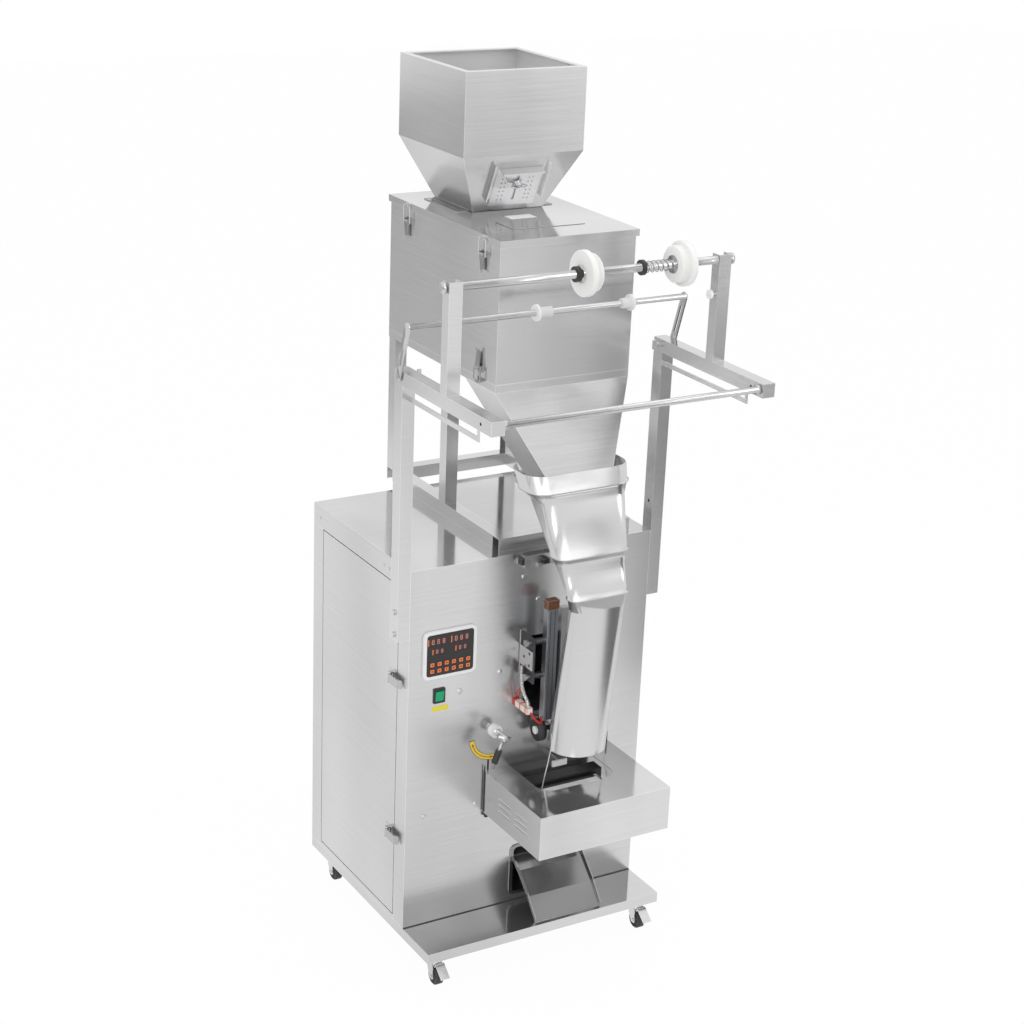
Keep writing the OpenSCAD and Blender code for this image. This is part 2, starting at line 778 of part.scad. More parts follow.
module former_collar() color(bright) at_origin() {
  difference() {
    ring_wall(concat([ring(rim_sec)], lip(lip1_sec), [ring(bend1_sec)], lip(lip2_sec),
                     [ring(bend2_sec)], lip(lip3_sec), [ring(neck_sec)],
                     [for (s = [neck_sec, lip3_sec, bend2_sec, lip2_sec, bend1_sec, lip1_sec,
                                rim_sec]) ring(s, -collar_t)]));
    // The funnel comes in through the open back
    for (i = [0, 1])
      block(former_x - back_cut[i], former_x + back_cut[i], 25 * (i - 2), funnel_y1,
            base_h + back_cut_z[i], base_h + back_cut_z[i + 1] + 1 - i);
  }
  // Foot on the bracket
  block(former_x - 32, former_x + 32, -99, former_foot_y, base_h + 771, base_h + 777);
}

former_foot_y = -84;
tube_foot = base_h + foot_sec[0];

// Half of a bag spreader's wire: how far out it stands, and its height above the guard's top
spreader_r = 1.2;
spreader_path = [[0, 106], [0, 74], [5, 44], [12, 12], [17, -16]];

module forming_tube() color(bright) at_origin() {
  ring_wall([ring(neck_sec), ring(foot_sec), ring(foot_sec, -sheet_t), ring(neck_sec, -sheet_t)]);
  // Guide edge down the left side
  translate([former_x - tube_w / 2, 0, 0]) hull() {
    block(-2, 0.6, -149, -144, base_h + 706, base_h + 707);
    block(-2, 0.6, -101, -96, tube_foot, tube_foot + 1);
  }
  // Bag spreaders: two wires that slant out below the tube
  for (s = [-1, 1])
    swept(smooth([for (p = spreader_path)
                  [former_x + s * (tube_w / 2 + 0.9 + p[0]), foot_sec[2] + tube_d / 2,
                   guard_z1 + p[1]]]), spreader_r);
}

// Chute under the jaws, as points of its upper face: Y and height above the base plate
chute_line = [[-100, 2], [-66, 43], [-24, 82], [20, 112]];
chute_mid_z = base_h + 72.5;
chute_open_h = 105;

module chute_strip(x0, x1, low, high) translate([x0, 0, base_h]) rotate([90, 0, 90])
  linear_extrude(x1 - x0) polygon(concat(
    [for (p = chute_line) p + [0, low]],
    [for (i = [len(chute_line) - 1 : -1 : 0]) chute_line[i] + [0, high]]));

module discharge_chute() color(steel) at_origin() {
  t = 2;
  mid = (chute_x0 + chute_x1) / 2;
  wide = chute_x1 - chute_x0;
  chute_strip(chute_x0, chute_x1, -t, 0);
  chute_strip(chute_x0, chute_x0 + t, -t, 9);
  chute_strip(chute_x1 - t, chute_x1, -t, 9);
  // Beaded frame round the opening
  difference() {
    panel_block(mid, chute_mid_z, wide + 14, chute_open_h + 12, 14, -2, 0);
    panel_block(mid, chute_mid_z, wide - 2, chute_open_h, 10, -3, 1);
  }
}

// Film holder

module film_frame() {
  x0 = half_w;
  x1 = half_w + post_w;
  t = 2;
  difference() {
    union() {
      // Post, arm and upright
      block(x0, x1, 0, post_d, post_foot_z, arm_z1);
      block(x0, x1, -arm_reach, 0, arm_z0, arm_z1);
      block(x0, x1, upright_y - 12, upright_y + 12, arm_z1, arm_z1 + upright_h);
    }
    block(x0 + t, x1 - t, t, post_d - t, post_foot_z - 1, arm_z1 - t);
    block(x0 + t, x1 - t, t - arm_reach, t, arm_z0 + t, arm_z1 - t);
    // The upright is a channel, open to the rear
    block(x0 + t, x1 - t, upright_y - 12 + t, upright_y + 13, arm_z1 + 1, arm_z1 + upright_h + 1);
    rod_x(x0 - 1, x1 + 1, upright_y, shaft_z, film_shaft_d / 2 + run_fit);
    rod_x(x0 - 1, x0 + t + 1, front_rod_y, front_rod_z, front_rod_d / 2 + run_fit);
    rod_x(x0 - 1, x1 + 1, 38 - arm_reach, front_rod_z - 2, 3.2);
    rod_x(x1 - t - 1, x1 + 1, dancer_y, dancer_z, 5 + run_fit);
    rod_x(x0 - 1, x0 + t + 1, 14, cab_top + 60, 3.2);
  }
  // Flat stop strip below the arm
  block(x0 + 12, x0 + 15, stop_y, 0, arm_z0 - 30, arm_z0 - 21);
  block(x0 + 12, x0 + 15, stop_y, stop_y + 6, arm_z0 - 21, arm_z0);
}

stop_y = -268;

module film_frame_right() color(steel) at_origin() film_frame();
module film_frame_left() color(steel) at_origin() mirror([1, 0, 0]) film_frame();

shaft_end = half_w + post_w + 4;

module film_shaft() color(bright) at_origin() {
  rod_x(-shaft_end, shaft_end, upright_y, shaft_z, film_shaft_d / 2);
  for (s = [-1, 1]) {
    x = s * (shaft_end + 2.5);
    rod_x(x - 2.5, x + 2.5, upright_y, shaft_z, 11);
  }
  // Bearing flanges on the cones' faces
  rod_x(cone_x[0] - hub_l, cone_x[0], upright_y, shaft_z, 10);
  rod_x(cone_x[0] - flange_t, cone_x[0], upright_y, shaft_z, flange_r);
  rod_x(cone_x[1] - cone_l - flange_t, cone_x[1] - cone_l, upright_y, shaft_z, flange_r);
  // Spring behind the sliding cone, wound round the shaft
  pitch = (spring_x[1] - spring_x[0] - 2 * spring_wire) / (16 * spring_turns);
  swept([for (i = [0 : 16 * spring_turns])
         [spring_x[0] + spring_wire + i * pitch, upright_y + spring_coil * cos(22.5 * i),
          shaft_z + spring_coil * sin(22.5 * i)]], spring_wire);
}

// The two cones' outer faces, their length, and the disc and step they are made of
cone_x = [-23.4, 205.5];
cone_l = 29;
cone_disc_w = 12.4;
cone_step_r = 35.4;
hub_l = 6;
flange_t = 1.5;
flange_r = 17;
spring_x = [111, cone_x[1] - cone_l - flange_t];
spring_turns = 6;
spring_coil = 10.5;
spring_wire = 0.9;

// A stepped cone: a wide disc at its outer face and a narrower step inside the roll's core
module roll_cone() rotate([0, 90, 0]) rotate_extrude($fn = 72) polygon([
  [film_shaft_d / 2 + 0.02, 0], [cone_d / 2 - 1, 0], [cone_d / 2, 1],
  [cone_d / 2, cone_disc_w - 1], [cone_d / 2 - 1, cone_disc_w], [cone_step_r, cone_disc_w],
  [cone_step_r, cone_l - 3], [cone_step_r - 3, cone_l], [film_shaft_d / 2 + 0.02, cone_l]]);

module roll_cones() color("white") at_origin() {
  translate([cone_x[0], upright_y, shaft_z]) roll_cone();
  translate([cone_x[1], upright_y, shaft_z]) mirror([1, 0, 0]) roll_cone();
}

module collar(x, w, r) translate([x, upright_y, shaft_z]) rotate([0, 90, 0]) difference() {
  cylinder(h = w, r = r);
  translate([0, 0, -1]) cylinder(h = w + 2, r = film_shaft_d / 2 + 0.02);
}

module shaft_collars() color(dark) at_origin() {
  collar(cone_x[0] - hub_l - 9, 9, 14.5);
  collar(spring_x[0] - 6.5, 6.5, 14.5);
}

module dancer_frame() color(bright) at_origin() {
  rod_x(-lever_x - 1, lever_x + 1, bar_y, bar_z, dancer_bar_d / 2);
  for (s = [-1, 1]) {
    mid = s * (lever_x - 3.5);
    rod_x(mid - 4.5, mid + 4.5, dancer_y, dancer_z, 5);
    translate([s * (lever_x + lever_t / 2), dancer_y, dancer_z]) rotate([dancer_lean, 0, 0])
      dancer_lever();
  }
}

// A flat lever with a slot along its middle
module dancer_lever() difference() {
  union() {
    translate([-lever_t / 2, -9, 0]) cube([lever_t, 18, dancer_l]);
    for (z = [0, dancer_l]) rod_x(-lever_t / 2, lever_t / 2, 0, z, 9);
  }
  translate([-lever_t, -2.5, 22]) cube([2 * lever_t, 5, dancer_l - 44]);
}

// A guide ring: a disc whose outer face is at x, and a sleeve that reaches inwards
module guide_ring(x, sleeve, dir) translate([x, bar_y, bar_z]) rotate([0, 90 * dir, 0])
  difference() {
    union() {
      cylinder(h = 6, r = 16);
      cylinder(h = 6 + sleeve, r = 10);
    }
    translate([0, 0, -1]) cylinder(h = sleeve + 8, r = dancer_bar_d / 2 + 0.02);
  }

module guide_rings() color("white") at_origin() {
  guide_ring(-35, 29, 1);
  guide_ring(181, 17, -1);
}

module front_rod() color(bright) at_origin() {
  rod_x(-half_w - 2, half_w + 2, front_rod_y, front_rod_z, front_rod_d / 2);
  for (s = [-1, 1]) {
    x = s * (half_w - 5);
    rod_x(x - 4, x + 4, front_rod_y, front_rod_z, front_rod_d / 2 + 2.5);
  }
}

// Controls

module controller_bezel() color("white") at_origin() difference() {
  panel_block(controller_x, controller_z, controller_w, controller_h, 12, -5, 0);
  panel_block(controller_x, controller_z, controller_w - 14, controller_h - 13, 6, -6, -3.5);
  panel_block(controller_x, controller_z, controller_w - 30, controller_h - 30, 3, -6, 1);
}

display_w = [40, 40, 26, 26];
display_h = [16, 16, 13, 13];
display_x = [-27, 24, -24, 27];
display_z = [29, 29, 8, 8];
key_cols = 6;
key_pitch = 16;

module controller_face() color("black") at_origin() {
  difference() {
    panel_block(controller_x, controller_z, controller_w - 14.6, controller_h - 13.6, 5.8, -5.5, -3.5);
    for (i = [0 : 3])
      panel_block(controller_x + display_x[i], controller_z + display_z[i],
                  display_w[i], display_h[i], 0.8, -6, -5);
  }
  // Key caps of the membrane pad
  for (col = [0 : key_cols - 1], row = [0, 1])
    panel_block(controller_x + (col - 2.5) * key_pitch, controller_z - 19 - row * 14,
                9, 8.5, 1, -6, -5.5);
  // Electronics box behind the panel
  block(controller_x - 42, controller_x + 42, -3.5, 40, controller_z - 33, controller_z + 33);
}

rocker_w = 18;
rocker_h = 22;

module rocker_frame() color("black") at_origin() difference() {
  union() {
    panel_block(rocker_x, rocker_z, 26, 32, 2, -2.5, 0);
    panel_block(rocker_x, rocker_z, 21.6, 27.6, 1, 0, 24);
  }
  panel_block(rocker_x, rocker_z, rocker_w + 1, rocker_h + 1.6, 1, -4, 12);
  rod_x(rocker_x - 10.4, rocker_x + 10.4, 4, rocker_z, 1.5 + run_fit);
}

module rocker() color("green") at_origin() {
  translate([rocker_x, 4, rocker_z]) rotate([7, 0, 0])
    block(-rocker_w / 2, rocker_w / 2, -8, 0, -rocker_h / 2 + 0.6, rocker_h / 2 - 0.6);
  rod_x(rocker_x - 10.2, rocker_x + 10.2, 4, rocker_z, 1.5);
}

// Hand lever that sets the sealing pressure, on a shaft out of the panel
lever_out = 68;
lever_len = 68;
lever_rest = 21;

module pressure_lever() color(bright) at_origin() {
  rod_y(lever_pivot_x, -lever_out, 20, lever_pivot_z, lever_shaft_r);
  rod_y(lever_pivot_x, -30, -16, lever_pivot_z, 13);
  rod_y(lever_pivot_x, 6, 12, lever_pivot_z, 12);
  translate([lever_pivot_x, -lever_out + 10, lever_pivot_z]) rotate([0, lever_rest, 0]) {
    rod_x(-14, 14, 0, 0, 4);
    rod_z(0, 0, -lever_len, 0, 3.2);
    rod_z(0, 0, -lever_len + 12, -lever_len + 42, 6.5);
  }
}

// Vertical sealer: plates on the panel, the fixed counter bar and the wheel arms
module sealer_bracket() color(steel) at_origin() {
  // Former's bracket across the panel, with its wing nut, switch and end stop
  difference() {
    block(former_bar_x[0], former_bar_x[1], -18, -16, former_bar_z - 12, former_bar_z + 12);
    rod_y(former_bar_x[0] + 11.5, -19, -15, former_bar_z, 5);
  }
  for (x = [former_bar_x[0], former_bar_x[1] - 4])
    block(x, x + 4, -16, 0, former_bar_z - 12, former_bar_z + 12);
  for (x = [former_x - 30, former_x + 26])
    block(x, x + 4, former_foot_y, -18, former_bar_z - 3, former_bar_z + 8);
  rod_y(former_bar_x[0] + 29.4, -26, -18, former_bar_z - 8, 4.5);
  block(former_bar_x[0] + 22, former_bar_x[0] + 37, -25, -22, former_bar_z - 11, former_bar_z - 5);
  block(switch_x - 7, switch_x + 7, -30, -18, former_bar_z - 5, former_bar_z + 5);
  block(former_bar_x[0] - 11, former_bar_x[0] - 4, -24, -10, former_bar_z - 3, former_bar_z + 11);
  rod_x(former_bar_x[0] - 4, former_bar_x[0], -17, former_bar_z + 4, 3);
  // Guide block behind the bag, on its stay
  block(bag_block_x - 17, bag_block_x + 17, -60, -56, bag_block_z - 6.5, bag_block_z + 6.5);
  block(bag_block_x - 2, bag_block_x + 2, -56, 0, bag_block_z - 4, bag_block_z + 4);
  // Plate that carries the heater bar's guide pins
  difference() {
    block(plate_x, plate_x + plate_t, -54, 0, bar_pin_z[0] - 12, bar_pin_z[1] + 12);
    for (z = bar_pin_z) rod_x(plate_x - 1, plate_x + plate_t + 1, bar_mid_y, z, pin_r + run_fit);
  }
  block(plate_x + plate_t, plate_x + 16, -1.5, 0, bar_pin_z[0] - 12, bar_pin_z[1] + 12);
  // Clamp plate between the two pins
  block(plate_x - 2, plate_x, -52, -2, bar_pin_z[0] + 15.5, bar_pin_z[1] - 17.5);
  // Fixed counter bar on two stays
  block(counter_x, counter_x + 18, bar_mid_y - 7.5, bar_mid_y + 7.5, bar_z0, bar_z1);
  for (z = bar_pin_z)
    block(counter_x + 12, counter_x + 18, bar_mid_y + 7.5, 0, z - 4, z + 4);
  // Arms of the pull rollers
  for (x = pull_arm_x) difference() {
    block(x, x + 4, pull_y - 9, 0, pull_z - 9, pull_z + 9);
    rod_x(x - 1, x + 5, pull_y, pull_z, 5 + run_fit);
  }
}

pin_r = 4;
former_bar_x = [-32, 122];
former_bar_z = base_h + 769;
switch_x = 11;
bag_block_x = 46;
bag_block_z = guard_z1 + 13.5;
counter_x = bar_x + bar_w / 2 + bar_travel + move_gap;
pull_arm_x = [former_x - 24, former_x + 20];

module heater_bar() color("gray") at_origin() {
  block(bar_x - bar_w / 2, bar_x + bar_w / 2, bar_mid_y - bar_d / 2, bar_mid_y + bar_d / 2,
        bar_z0, bar_z1);
  // Insulating cap
  block(bar_x - bar_w / 2 - 1, bar_x + bar_w / 2 + 1, bar_mid_y - bar_d / 2 - 1,
        bar_mid_y + bar_d / 2 + 1, bar_z1, bar_z1 + 20);
  for (z = bar_pin_z) {
    rod_x(plate_x - 1 - bar_travel, bar_x - bar_w / 2, bar_mid_y, z, pin_r);
    rod_x(plate_x - 5 - bar_travel, plate_x - 1 - bar_travel, bar_mid_y, z, 7);
  }
}

// Two springs between the plate and the bar
coil_turns = 6;
coil_r = 6;
coil_wire = 0.9;

module bar_springs() color(bright) at_origin() for (z = bar_pin_z) {
  x0 = plate_x + plate_t + coil_wire + 0.1;
  pitch = (bar_x - bar_w / 2 - coil_wire - 0.1 - x0) / (12 * coil_turns);
  swept([for (i = [0 : 12 * coil_turns])
         [x0 + i * pitch, bar_mid_y + coil_r * cos(30 * i), z + coil_r * sin(30 * i)]], coil_wire);
}

module pull_rollers() color(dark) at_origin() {
  rod_x(former_x - pull_half - 8, former_x + pull_half + 8, pull_y, pull_z, 5);
  for (s = [-1, 1]) {
    x = former_x + s * pull_half;
    rod_x(x - 6, x + 6, pull_y, pull_z, wheel_pull_d / 2);
    rod_x(x + s * 6 - (s < 0 ? 3 : 0), x + s * 6 + (s > 0 ? 3 : 0), pull_y, pull_z, 8);
  }
}

module jaw(front) {
  // face is the jaw's sealing face, and the body lies behind it
  dir = front ? -1 : 1;
  face = pinch_y + dir * jaw_face;
  far = face + dir * jaw_d;
  difference() {
    union() {
      block(jaw_x - jaw_l / 2, jaw_x + jaw_l / 2, min(face + dir * 6, far),
            max(face + dir * 6, far), jaw_z - jaw_h / 2, jaw_z + jaw_h / 2);
      block(jaw_x - jaw_l / 2 + 26, jaw_x + jaw_l / 2 - 26, min(face, face + dir * 6),
            max(face, face + dir * 6), jaw_z - 8, jaw_z + 8);
    }
    for (s = [-1, 1])
      rod_y(jaw_x + s * jaw_rod_x, min(face, far) - 1, max(face, far) + 1,
            jaw_z, jaw_rod_d / 2 + run_fit);
  }
}

module front_jaw() color("black") at_origin() {
  jaw(true);
  block(jaw_x - jaw_l / 2 + 40, jaw_x + jaw_l / 2 - 40, pinch_y - jaw_face - 26,
        pinch_y - jaw_face - 2, jaw_z + jaw_h / 2, jaw_z + jaw_h / 2 + 2);
}

module rear_jaw() color("black") at_origin() jaw(false);

module jaw_rods() color(bright) at_origin() for (s = [-1, 1]) {
  rod_y(jaw_x + s * jaw_rod_x, jaw_rod_end, 30, jaw_z, jaw_rod_d / 2);
  rod_y(jaw_x + s * jaw_rod_x, jaw_rod_end - 4, jaw_rod_end, jaw_z, jaw_rod_d / 2 + 3);
  rod_y(jaw_x + s * jaw_rod_x, sheet_t, 8, jaw_z, jaw_rod_d / 2 + 4);
}

slot_rows = 3;

module guard() color(bright) at_origin() {
  t = sheet_t;
  cut_r = 30;
  cut_x0 = -38;
  cut_x1 = 140;
  cut_y = -136;
  difference() {
    block(guard_x0, guard_x1, -guard_d, -move_gap, guard_z0, guard_z1);
    block(guard_x0 + t, guard_x1 - t, t - guard_d, 1, guard_z0 - 1, guard_z1 - t);
    // Cut-out round the tube, with rounded front corners
    translate([0, 0, guard_z1 - 5]) linear_extrude(10) {
      translate([cut_x0, cut_y + cut_r]) square([cut_x1 - cut_x0, 140]);
      translate([cut_x0 + cut_r, cut_y]) square([cut_x1 - cut_x0 - 2 * cut_r, cut_r + 1]);
      for (x = [cut_x0 + cut_r, cut_x1 - cut_r]) translate([x, cut_y + cut_r]) circle(r = cut_r);
    }
    // Air slots in both sides
    for (col = [0, 1], row = [0 : slot_rows - 1])
      block(guard_x0 - 1, guard_x1 + 1, -110 - 66 * col, -64 - 66 * col,
            guard_z0 + 30 + 13 * row, guard_z0 + 34 + 13 * row);
  }
  // Hooks that hang in the panel's slots
  mid = (guard_x0 + guard_x1) / 2;
  for (s = [-1, 1]) {
    x = mid + s * hook_x;
    block(x - 1.2, x + 1.2, -10, 4.5, guard_z1 - 16, guard_z1 - t - 2);
    block(x - 1.2, x + 1.2, 3, 4.5, guard_z1 - 24, guard_z1 - 16);
    block(min(x, x + s * 9), max(x, x + s * 9), -12, -10, guard_z1 - 16, guard_z1 - t);
  }
}

// Drive in the cabinet
motor_x = 54;
motor_y = 190;
motor_z = shelf_z + 60;

module gear_motor() color("gray") at_origin() {
  difference() {
    union() {
      block(motor_x - 45, motor_x + 45, motor_y - 45, motor_y + 45, shelf_z + 12, shelf_z + 108);
      rod_y(motor_x, motor_y + 45, motor_y + 180, motor_z, 42);
      block(motor_x - 60, motor_x + 60, motor_y - 40, motor_y + 40, shelf_z, shelf_z + 12);
    }
    rod_y(motor_x, motor_y - 50, motor_y - 10, motor_z, 9 + run_fit);
  }
}

module crank_disc() color("gray") at_origin() {
  rod_y(motor_x, motor_y - 62, motor_y - 10.5, motor_z, 9);
  rod_y(motor_x, motor_y - 62, motor_y - 50, motor_z, 36);
  rod_y(motor_x + 24, motor_y - 76, motor_y - 62, motor_z, 6);
}

// Leads of the heater: the route's points from the terminal block to the bar's foot
lead_r = 2.2;
lead_block_z = base_h + 462;
red_lead = [[-27, -50, 546], [-24, -56, 540], [-16, -60, 528], [-6, -60, 520], [0, -56, 518],
            [4, -48, 520], [4.5, -43, 525]];
braid_lead = [[-30, -20, 634], [-30, -20, 622], [-30, -21, 606], [-30, -24, 590],
              [-29, -34, 574], [-27, -44, 562], [-27, -46, 553]];

function unit(v) = v / norm(v);
function side_of(d) = unit(cross(d, abs(d[0]) < 0.8 ? [1, 0, 0] : [0, 1, 0]));
function tangent(p, i) = unit(p[min(i + 1, len(p) - 1)] - p[max(i - 1, 0)]);

// A tube swept along a list of points
module swept(p, r, sides = 8) {
  n = len(p);
  rings = [for (i = [0 : n - 1]) let (d = tangent(p, i), a = side_of(d), b = cross(d, a))
           for (k = [0 : sides - 1]) p[i] + r * (cos(360 * k / sides) * a
                                               + sin(360 * k / sides) * b)];
  walls = [for (i = [0 : n - 2], k = [0 : sides - 1]) let (q = (k + 1) % sides)
           [i * sides + k, (i + 1) * sides + k, (i + 1) * sides + q, i * sides + q]];
  ends = [[for (k = [0 : sides - 1]) k], [for (k = [sides - 1 : -1 : 0]) (n - 1) * sides + k]];
  polyhedron(rings, concat(walls, ends));
}

// Points between the route's points, on a smooth curve
function curve(a, b, c, d, t) = 0.5 * (2 * b + (c - a) * t + (2 * a - 5 * b + 4 * c - d) * t * t
                                       + (3 * b - a - 3 * c + d) * t * t * t);
function smooth(p, steps = 3) = [
  for (i = [0 : len(p) - 2], s = [0 : steps - 1])
    curve(p[max(i - 1, 0)], p[i], p[i + 1], p[min(i + 2, len(p) - 1)], s / steps),
  p[len(p) - 1]];

module heater_leads() color("red") at_origin() {
  swept(smooth(red_lead), lead_r);
  swept(smooth(braid_lead), lead_r + 1);
  // Ceramic terminal block
  block(-34, -21, -54, 0, lead_block_z - 8, lead_block_z + 6);
}

// Screws and small fittings of the front panel and the cover
screw_spots = [[-69.5, 534.6], [-234, 248], [-115, 249.3], [-22.3, 731.6], [13, 677.5]];

knob_z = arm_z1 + 132;

module pan_head(x, z, r) translate([x, 0, z]) rotate([90, 0, 0]) rotate_extrude()
  polygon([[0, 0], [r, 0], [r, 0.8], [r * 0.72, 2.2], [0, 2.8]]);

module fasteners() color(bright) at_origin() {
  for (p = screw_spots) pan_head(p[0], base_h + p[1], 5);
  pan_head(-160, base_h + 510, 6);
  // Bolts of the film holder's posts
  for (s = [-1, 1], z = [post_foot_z + 12, post_foot_z + 58])
    rod_x(min(s * (half_w + post_w), s * (half_w + post_w + 4)),
          max(s * (half_w + post_w), s * (half_w + post_w + 4)), 14, z, 5.5);
  // Wing bolts on the posts' inner faces
  mirrored_x() {
    rod_x(half_w - 9, half_w, dancer_y, dancer_z, 5);
    block(half_w - 17, half_w - 9, dancer_y - 1.5, dancer_y + 1.5, dancer_z - 9, dancer_z + 9);
  }
  // Knob on the right upright
  rod_x(half_w - 10, half_w, upright_y - 5.7, knob_z, 4);
  rod_x(half_w - 16, half_w - 10, upright_y - 5.7, knob_z, 8);
  // Rivets of the top cover
  for (s = [-1, 1], y = [91, 114, 404])
    rod_x(min(s * half_w, s * (half_w + 1.2)), max(s * half_w, s * (half_w + 1.2)),
          y, cab_top - 26, 3);
}

// Casters

fork_t = 2;
fork_gap = wheel_w / 2 + 1;

module fork_cheek() rotate([90, 0, 90]) linear_extrude(fork_t)
  polygon([[-15, plate_z - 10], [15, plate_z - 10], [15, plate_z - 20], [-caster_trail + 8, axle_z - 2],
           [-caster_trail + 5, axle_z - 6], [-caster_trail - 5, axle_z - 6],
           [-caster_trail - 8, axle_z - 2]]);

// A fork hangs below its plate, with its axle between two cheeks
module caster_fork() {
  for (s = [-1, 1]) translate([s > 0 ? fork_gap : -fork_gap - fork_t, 0, 0]) fork_cheek();
  block(-fork_gap - fork_t, fork_gap + fork_t, -15, 15, plate_z - 12, plate_z - 9.5);
  rod_z(0, 0, plate_z - 12, plate_z - 3.5, 5);
  rod_x(-fork_gap - fork_t - 2, fork_gap + fork_t + 2, -caster_trail, axle_z, 3.5);
}

module caster_wheel() translate([-wheel_w / 2, -caster_trail, axle_z]) rotate([0, 90, 0])
  rotate_extrude($fn = 72) polygon([
    [3.5 + run_fit, 0], [8, 0], [8, 2], [wheel_d / 2 - 6, 2], [wheel_d / 2 - 5, 0],
    [wheel_d / 2 - 2, 0], [wheel_d / 2, 2], [wheel_d / 2, wheel_w - 2],
    [wheel_d / 2 - 2, wheel_w], [wheel_d / 2 - 5, wheel_w], [wheel_d / 2 - 6, wheel_w - 2],
    [8, wheel_w - 2], [8, wheel_w], [3.5 + run_fit, wheel_w]]);

module at_caster(ix, iy) at_origin() translate([ix * caster_x, caster_y[iy], 0]) children();

module fork_front_left() color(bright) at_caster(-1, 0) caster_fork();
module fork_front_right() color(bright) at_caster(1, 0) caster_fork();
module fork_rear_left() color(bright) at_caster(-1, 1) caster_fork();
module fork_rear_right() color(bright) at_caster(1, 1) caster_fork();
module wheel_front_left() color(dark) at_caster(-1, 0) caster_wheel();
module wheel_front_right() color(dark) at_caster(1, 0) caster_wheel();
module wheel_rear_left() color(dark) at_caster(-1, 1) caster_wheel();
module wheel_rear_right() color(dark) at_caster(1, 1) caster_wheel();

// Brake pedal, pinned across the fork above the wheel
brake_y = -24;
brake_z = axle_z + 28;

module brake_pedal() {
  difference() {
    union() {
      rod_x(-fork_gap + 0.5, fork_gap - 0.5, brake_y, brake_z, 4);
      translate([0, brake_y, brake_z]) rotate([38, 0, 0]) block(-8, 12, -34, 0, 1.5, 3.5);
    }
    rod_x(-20, 20, brake_y, brake_z, 2 + run_fit);
  }
}

module brake_left() color(steel) at_caster(-1, 0) brake_pedal();
module brake_right() color(steel) at_caster(1, 0) brake_pedal();

base_plate();
cabinet_shell();
front_panel();
top_cover();
scale_stand();
scale_box();
latch_bases();
funnel();
former_collar();
forming_tube();
discharge_chute();
film_frame_left();
film_frame_right();
controller_bezel();
controller_face();
rocker_frame();
sealer_bracket();
jaw_rods();
gear_motor();
crank_disc();
fasteners();
feeder();
weigher();
heater_leads();
side_door();
door_latch_upper();
door_latch_lower();
lid();
hopper();
inspection_window();
hopper_gate();
gate_screw();
bucket_flap();
guard();
film_shaft();
roll_cones();
shaft_collars();
dancer_frame();
guide_rings();
front_rod();
rocker();
pressure_lever();
heater_bar();
bar_springs();
pull_rollers();
front_jaw();
rear_jaw();
lid_latch_front();
lid_latch_rear();
box_latch();
fork_front_left();
fork_front_right();
fork_rear_left();
fork_rear_right();
wheel_front_left();
wheel_front_right();
wheel_rear_left();
wheel_rear_right();
brake_left();
brake_right();
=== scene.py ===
"""Looks of the powder packaging machine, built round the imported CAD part.

Metres, in the part's own frame: X to the operator's right, Y to the back, Z up from the
floor, with the origin midway along the part's depth. The small pieces are given in
millimetres, and spot() turns their places into metres.
"""

import json
import math

import bmesh
import bpy
from mathutils import Matrix, Vector

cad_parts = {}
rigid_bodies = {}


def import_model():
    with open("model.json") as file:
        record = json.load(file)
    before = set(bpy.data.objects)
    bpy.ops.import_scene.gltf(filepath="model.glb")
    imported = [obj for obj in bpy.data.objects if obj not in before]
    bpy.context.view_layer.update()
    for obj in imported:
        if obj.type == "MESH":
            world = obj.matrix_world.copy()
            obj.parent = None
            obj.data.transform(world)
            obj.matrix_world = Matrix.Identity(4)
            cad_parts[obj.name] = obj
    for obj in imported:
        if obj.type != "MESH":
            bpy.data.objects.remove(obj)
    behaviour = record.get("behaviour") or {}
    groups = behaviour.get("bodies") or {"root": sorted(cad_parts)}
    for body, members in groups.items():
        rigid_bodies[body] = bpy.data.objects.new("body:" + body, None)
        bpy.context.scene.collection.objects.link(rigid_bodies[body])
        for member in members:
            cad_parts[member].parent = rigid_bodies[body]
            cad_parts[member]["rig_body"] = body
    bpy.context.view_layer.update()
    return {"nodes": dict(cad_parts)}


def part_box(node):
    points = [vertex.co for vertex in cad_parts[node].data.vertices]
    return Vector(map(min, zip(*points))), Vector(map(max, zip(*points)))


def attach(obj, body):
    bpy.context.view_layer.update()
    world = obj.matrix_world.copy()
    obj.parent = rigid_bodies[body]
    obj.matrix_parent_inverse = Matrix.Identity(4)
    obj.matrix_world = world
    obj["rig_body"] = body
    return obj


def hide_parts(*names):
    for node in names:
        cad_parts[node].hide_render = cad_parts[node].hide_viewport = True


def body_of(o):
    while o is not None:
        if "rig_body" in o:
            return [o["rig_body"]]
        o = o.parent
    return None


MM = 0.001
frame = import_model()

# Places of the CAD part that the added pieces sit on
ROOT = "frame"
PANEL_LO, PANEL_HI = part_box("front_panel")
PANEL_Y = PANEL_LO.y
BASE = PANEL_LO.z / MM
BEZEL_LO, BEZEL_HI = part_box("controller_bezel")
GUARD_LO, GUARD_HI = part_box("guard")
LID_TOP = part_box("inspection_window")[1].z / MM

# Directions
TO_RIGHT = (1, 0, 0)
TO_LEFT = (-1, 0, 0)
TO_BACK = (0, 1, 0)
TO_FRONT = (0, -1, 0)
UP = (0, 0, 1)
DOWN = (0, 0, -1)


# Camera, fitted to the photograph's straight edges

CAM_PLACE = (-2.041916, -3.405110, 2.373470)
CAM_AZIMUTH = -30.93065712
CAM_DOWN = 20.11290955
CAM_ROLL = 2.31919413
FOCAL_PX = 2115.380
IMAGE_PX = 1024
SENSOR_MM = 36.0


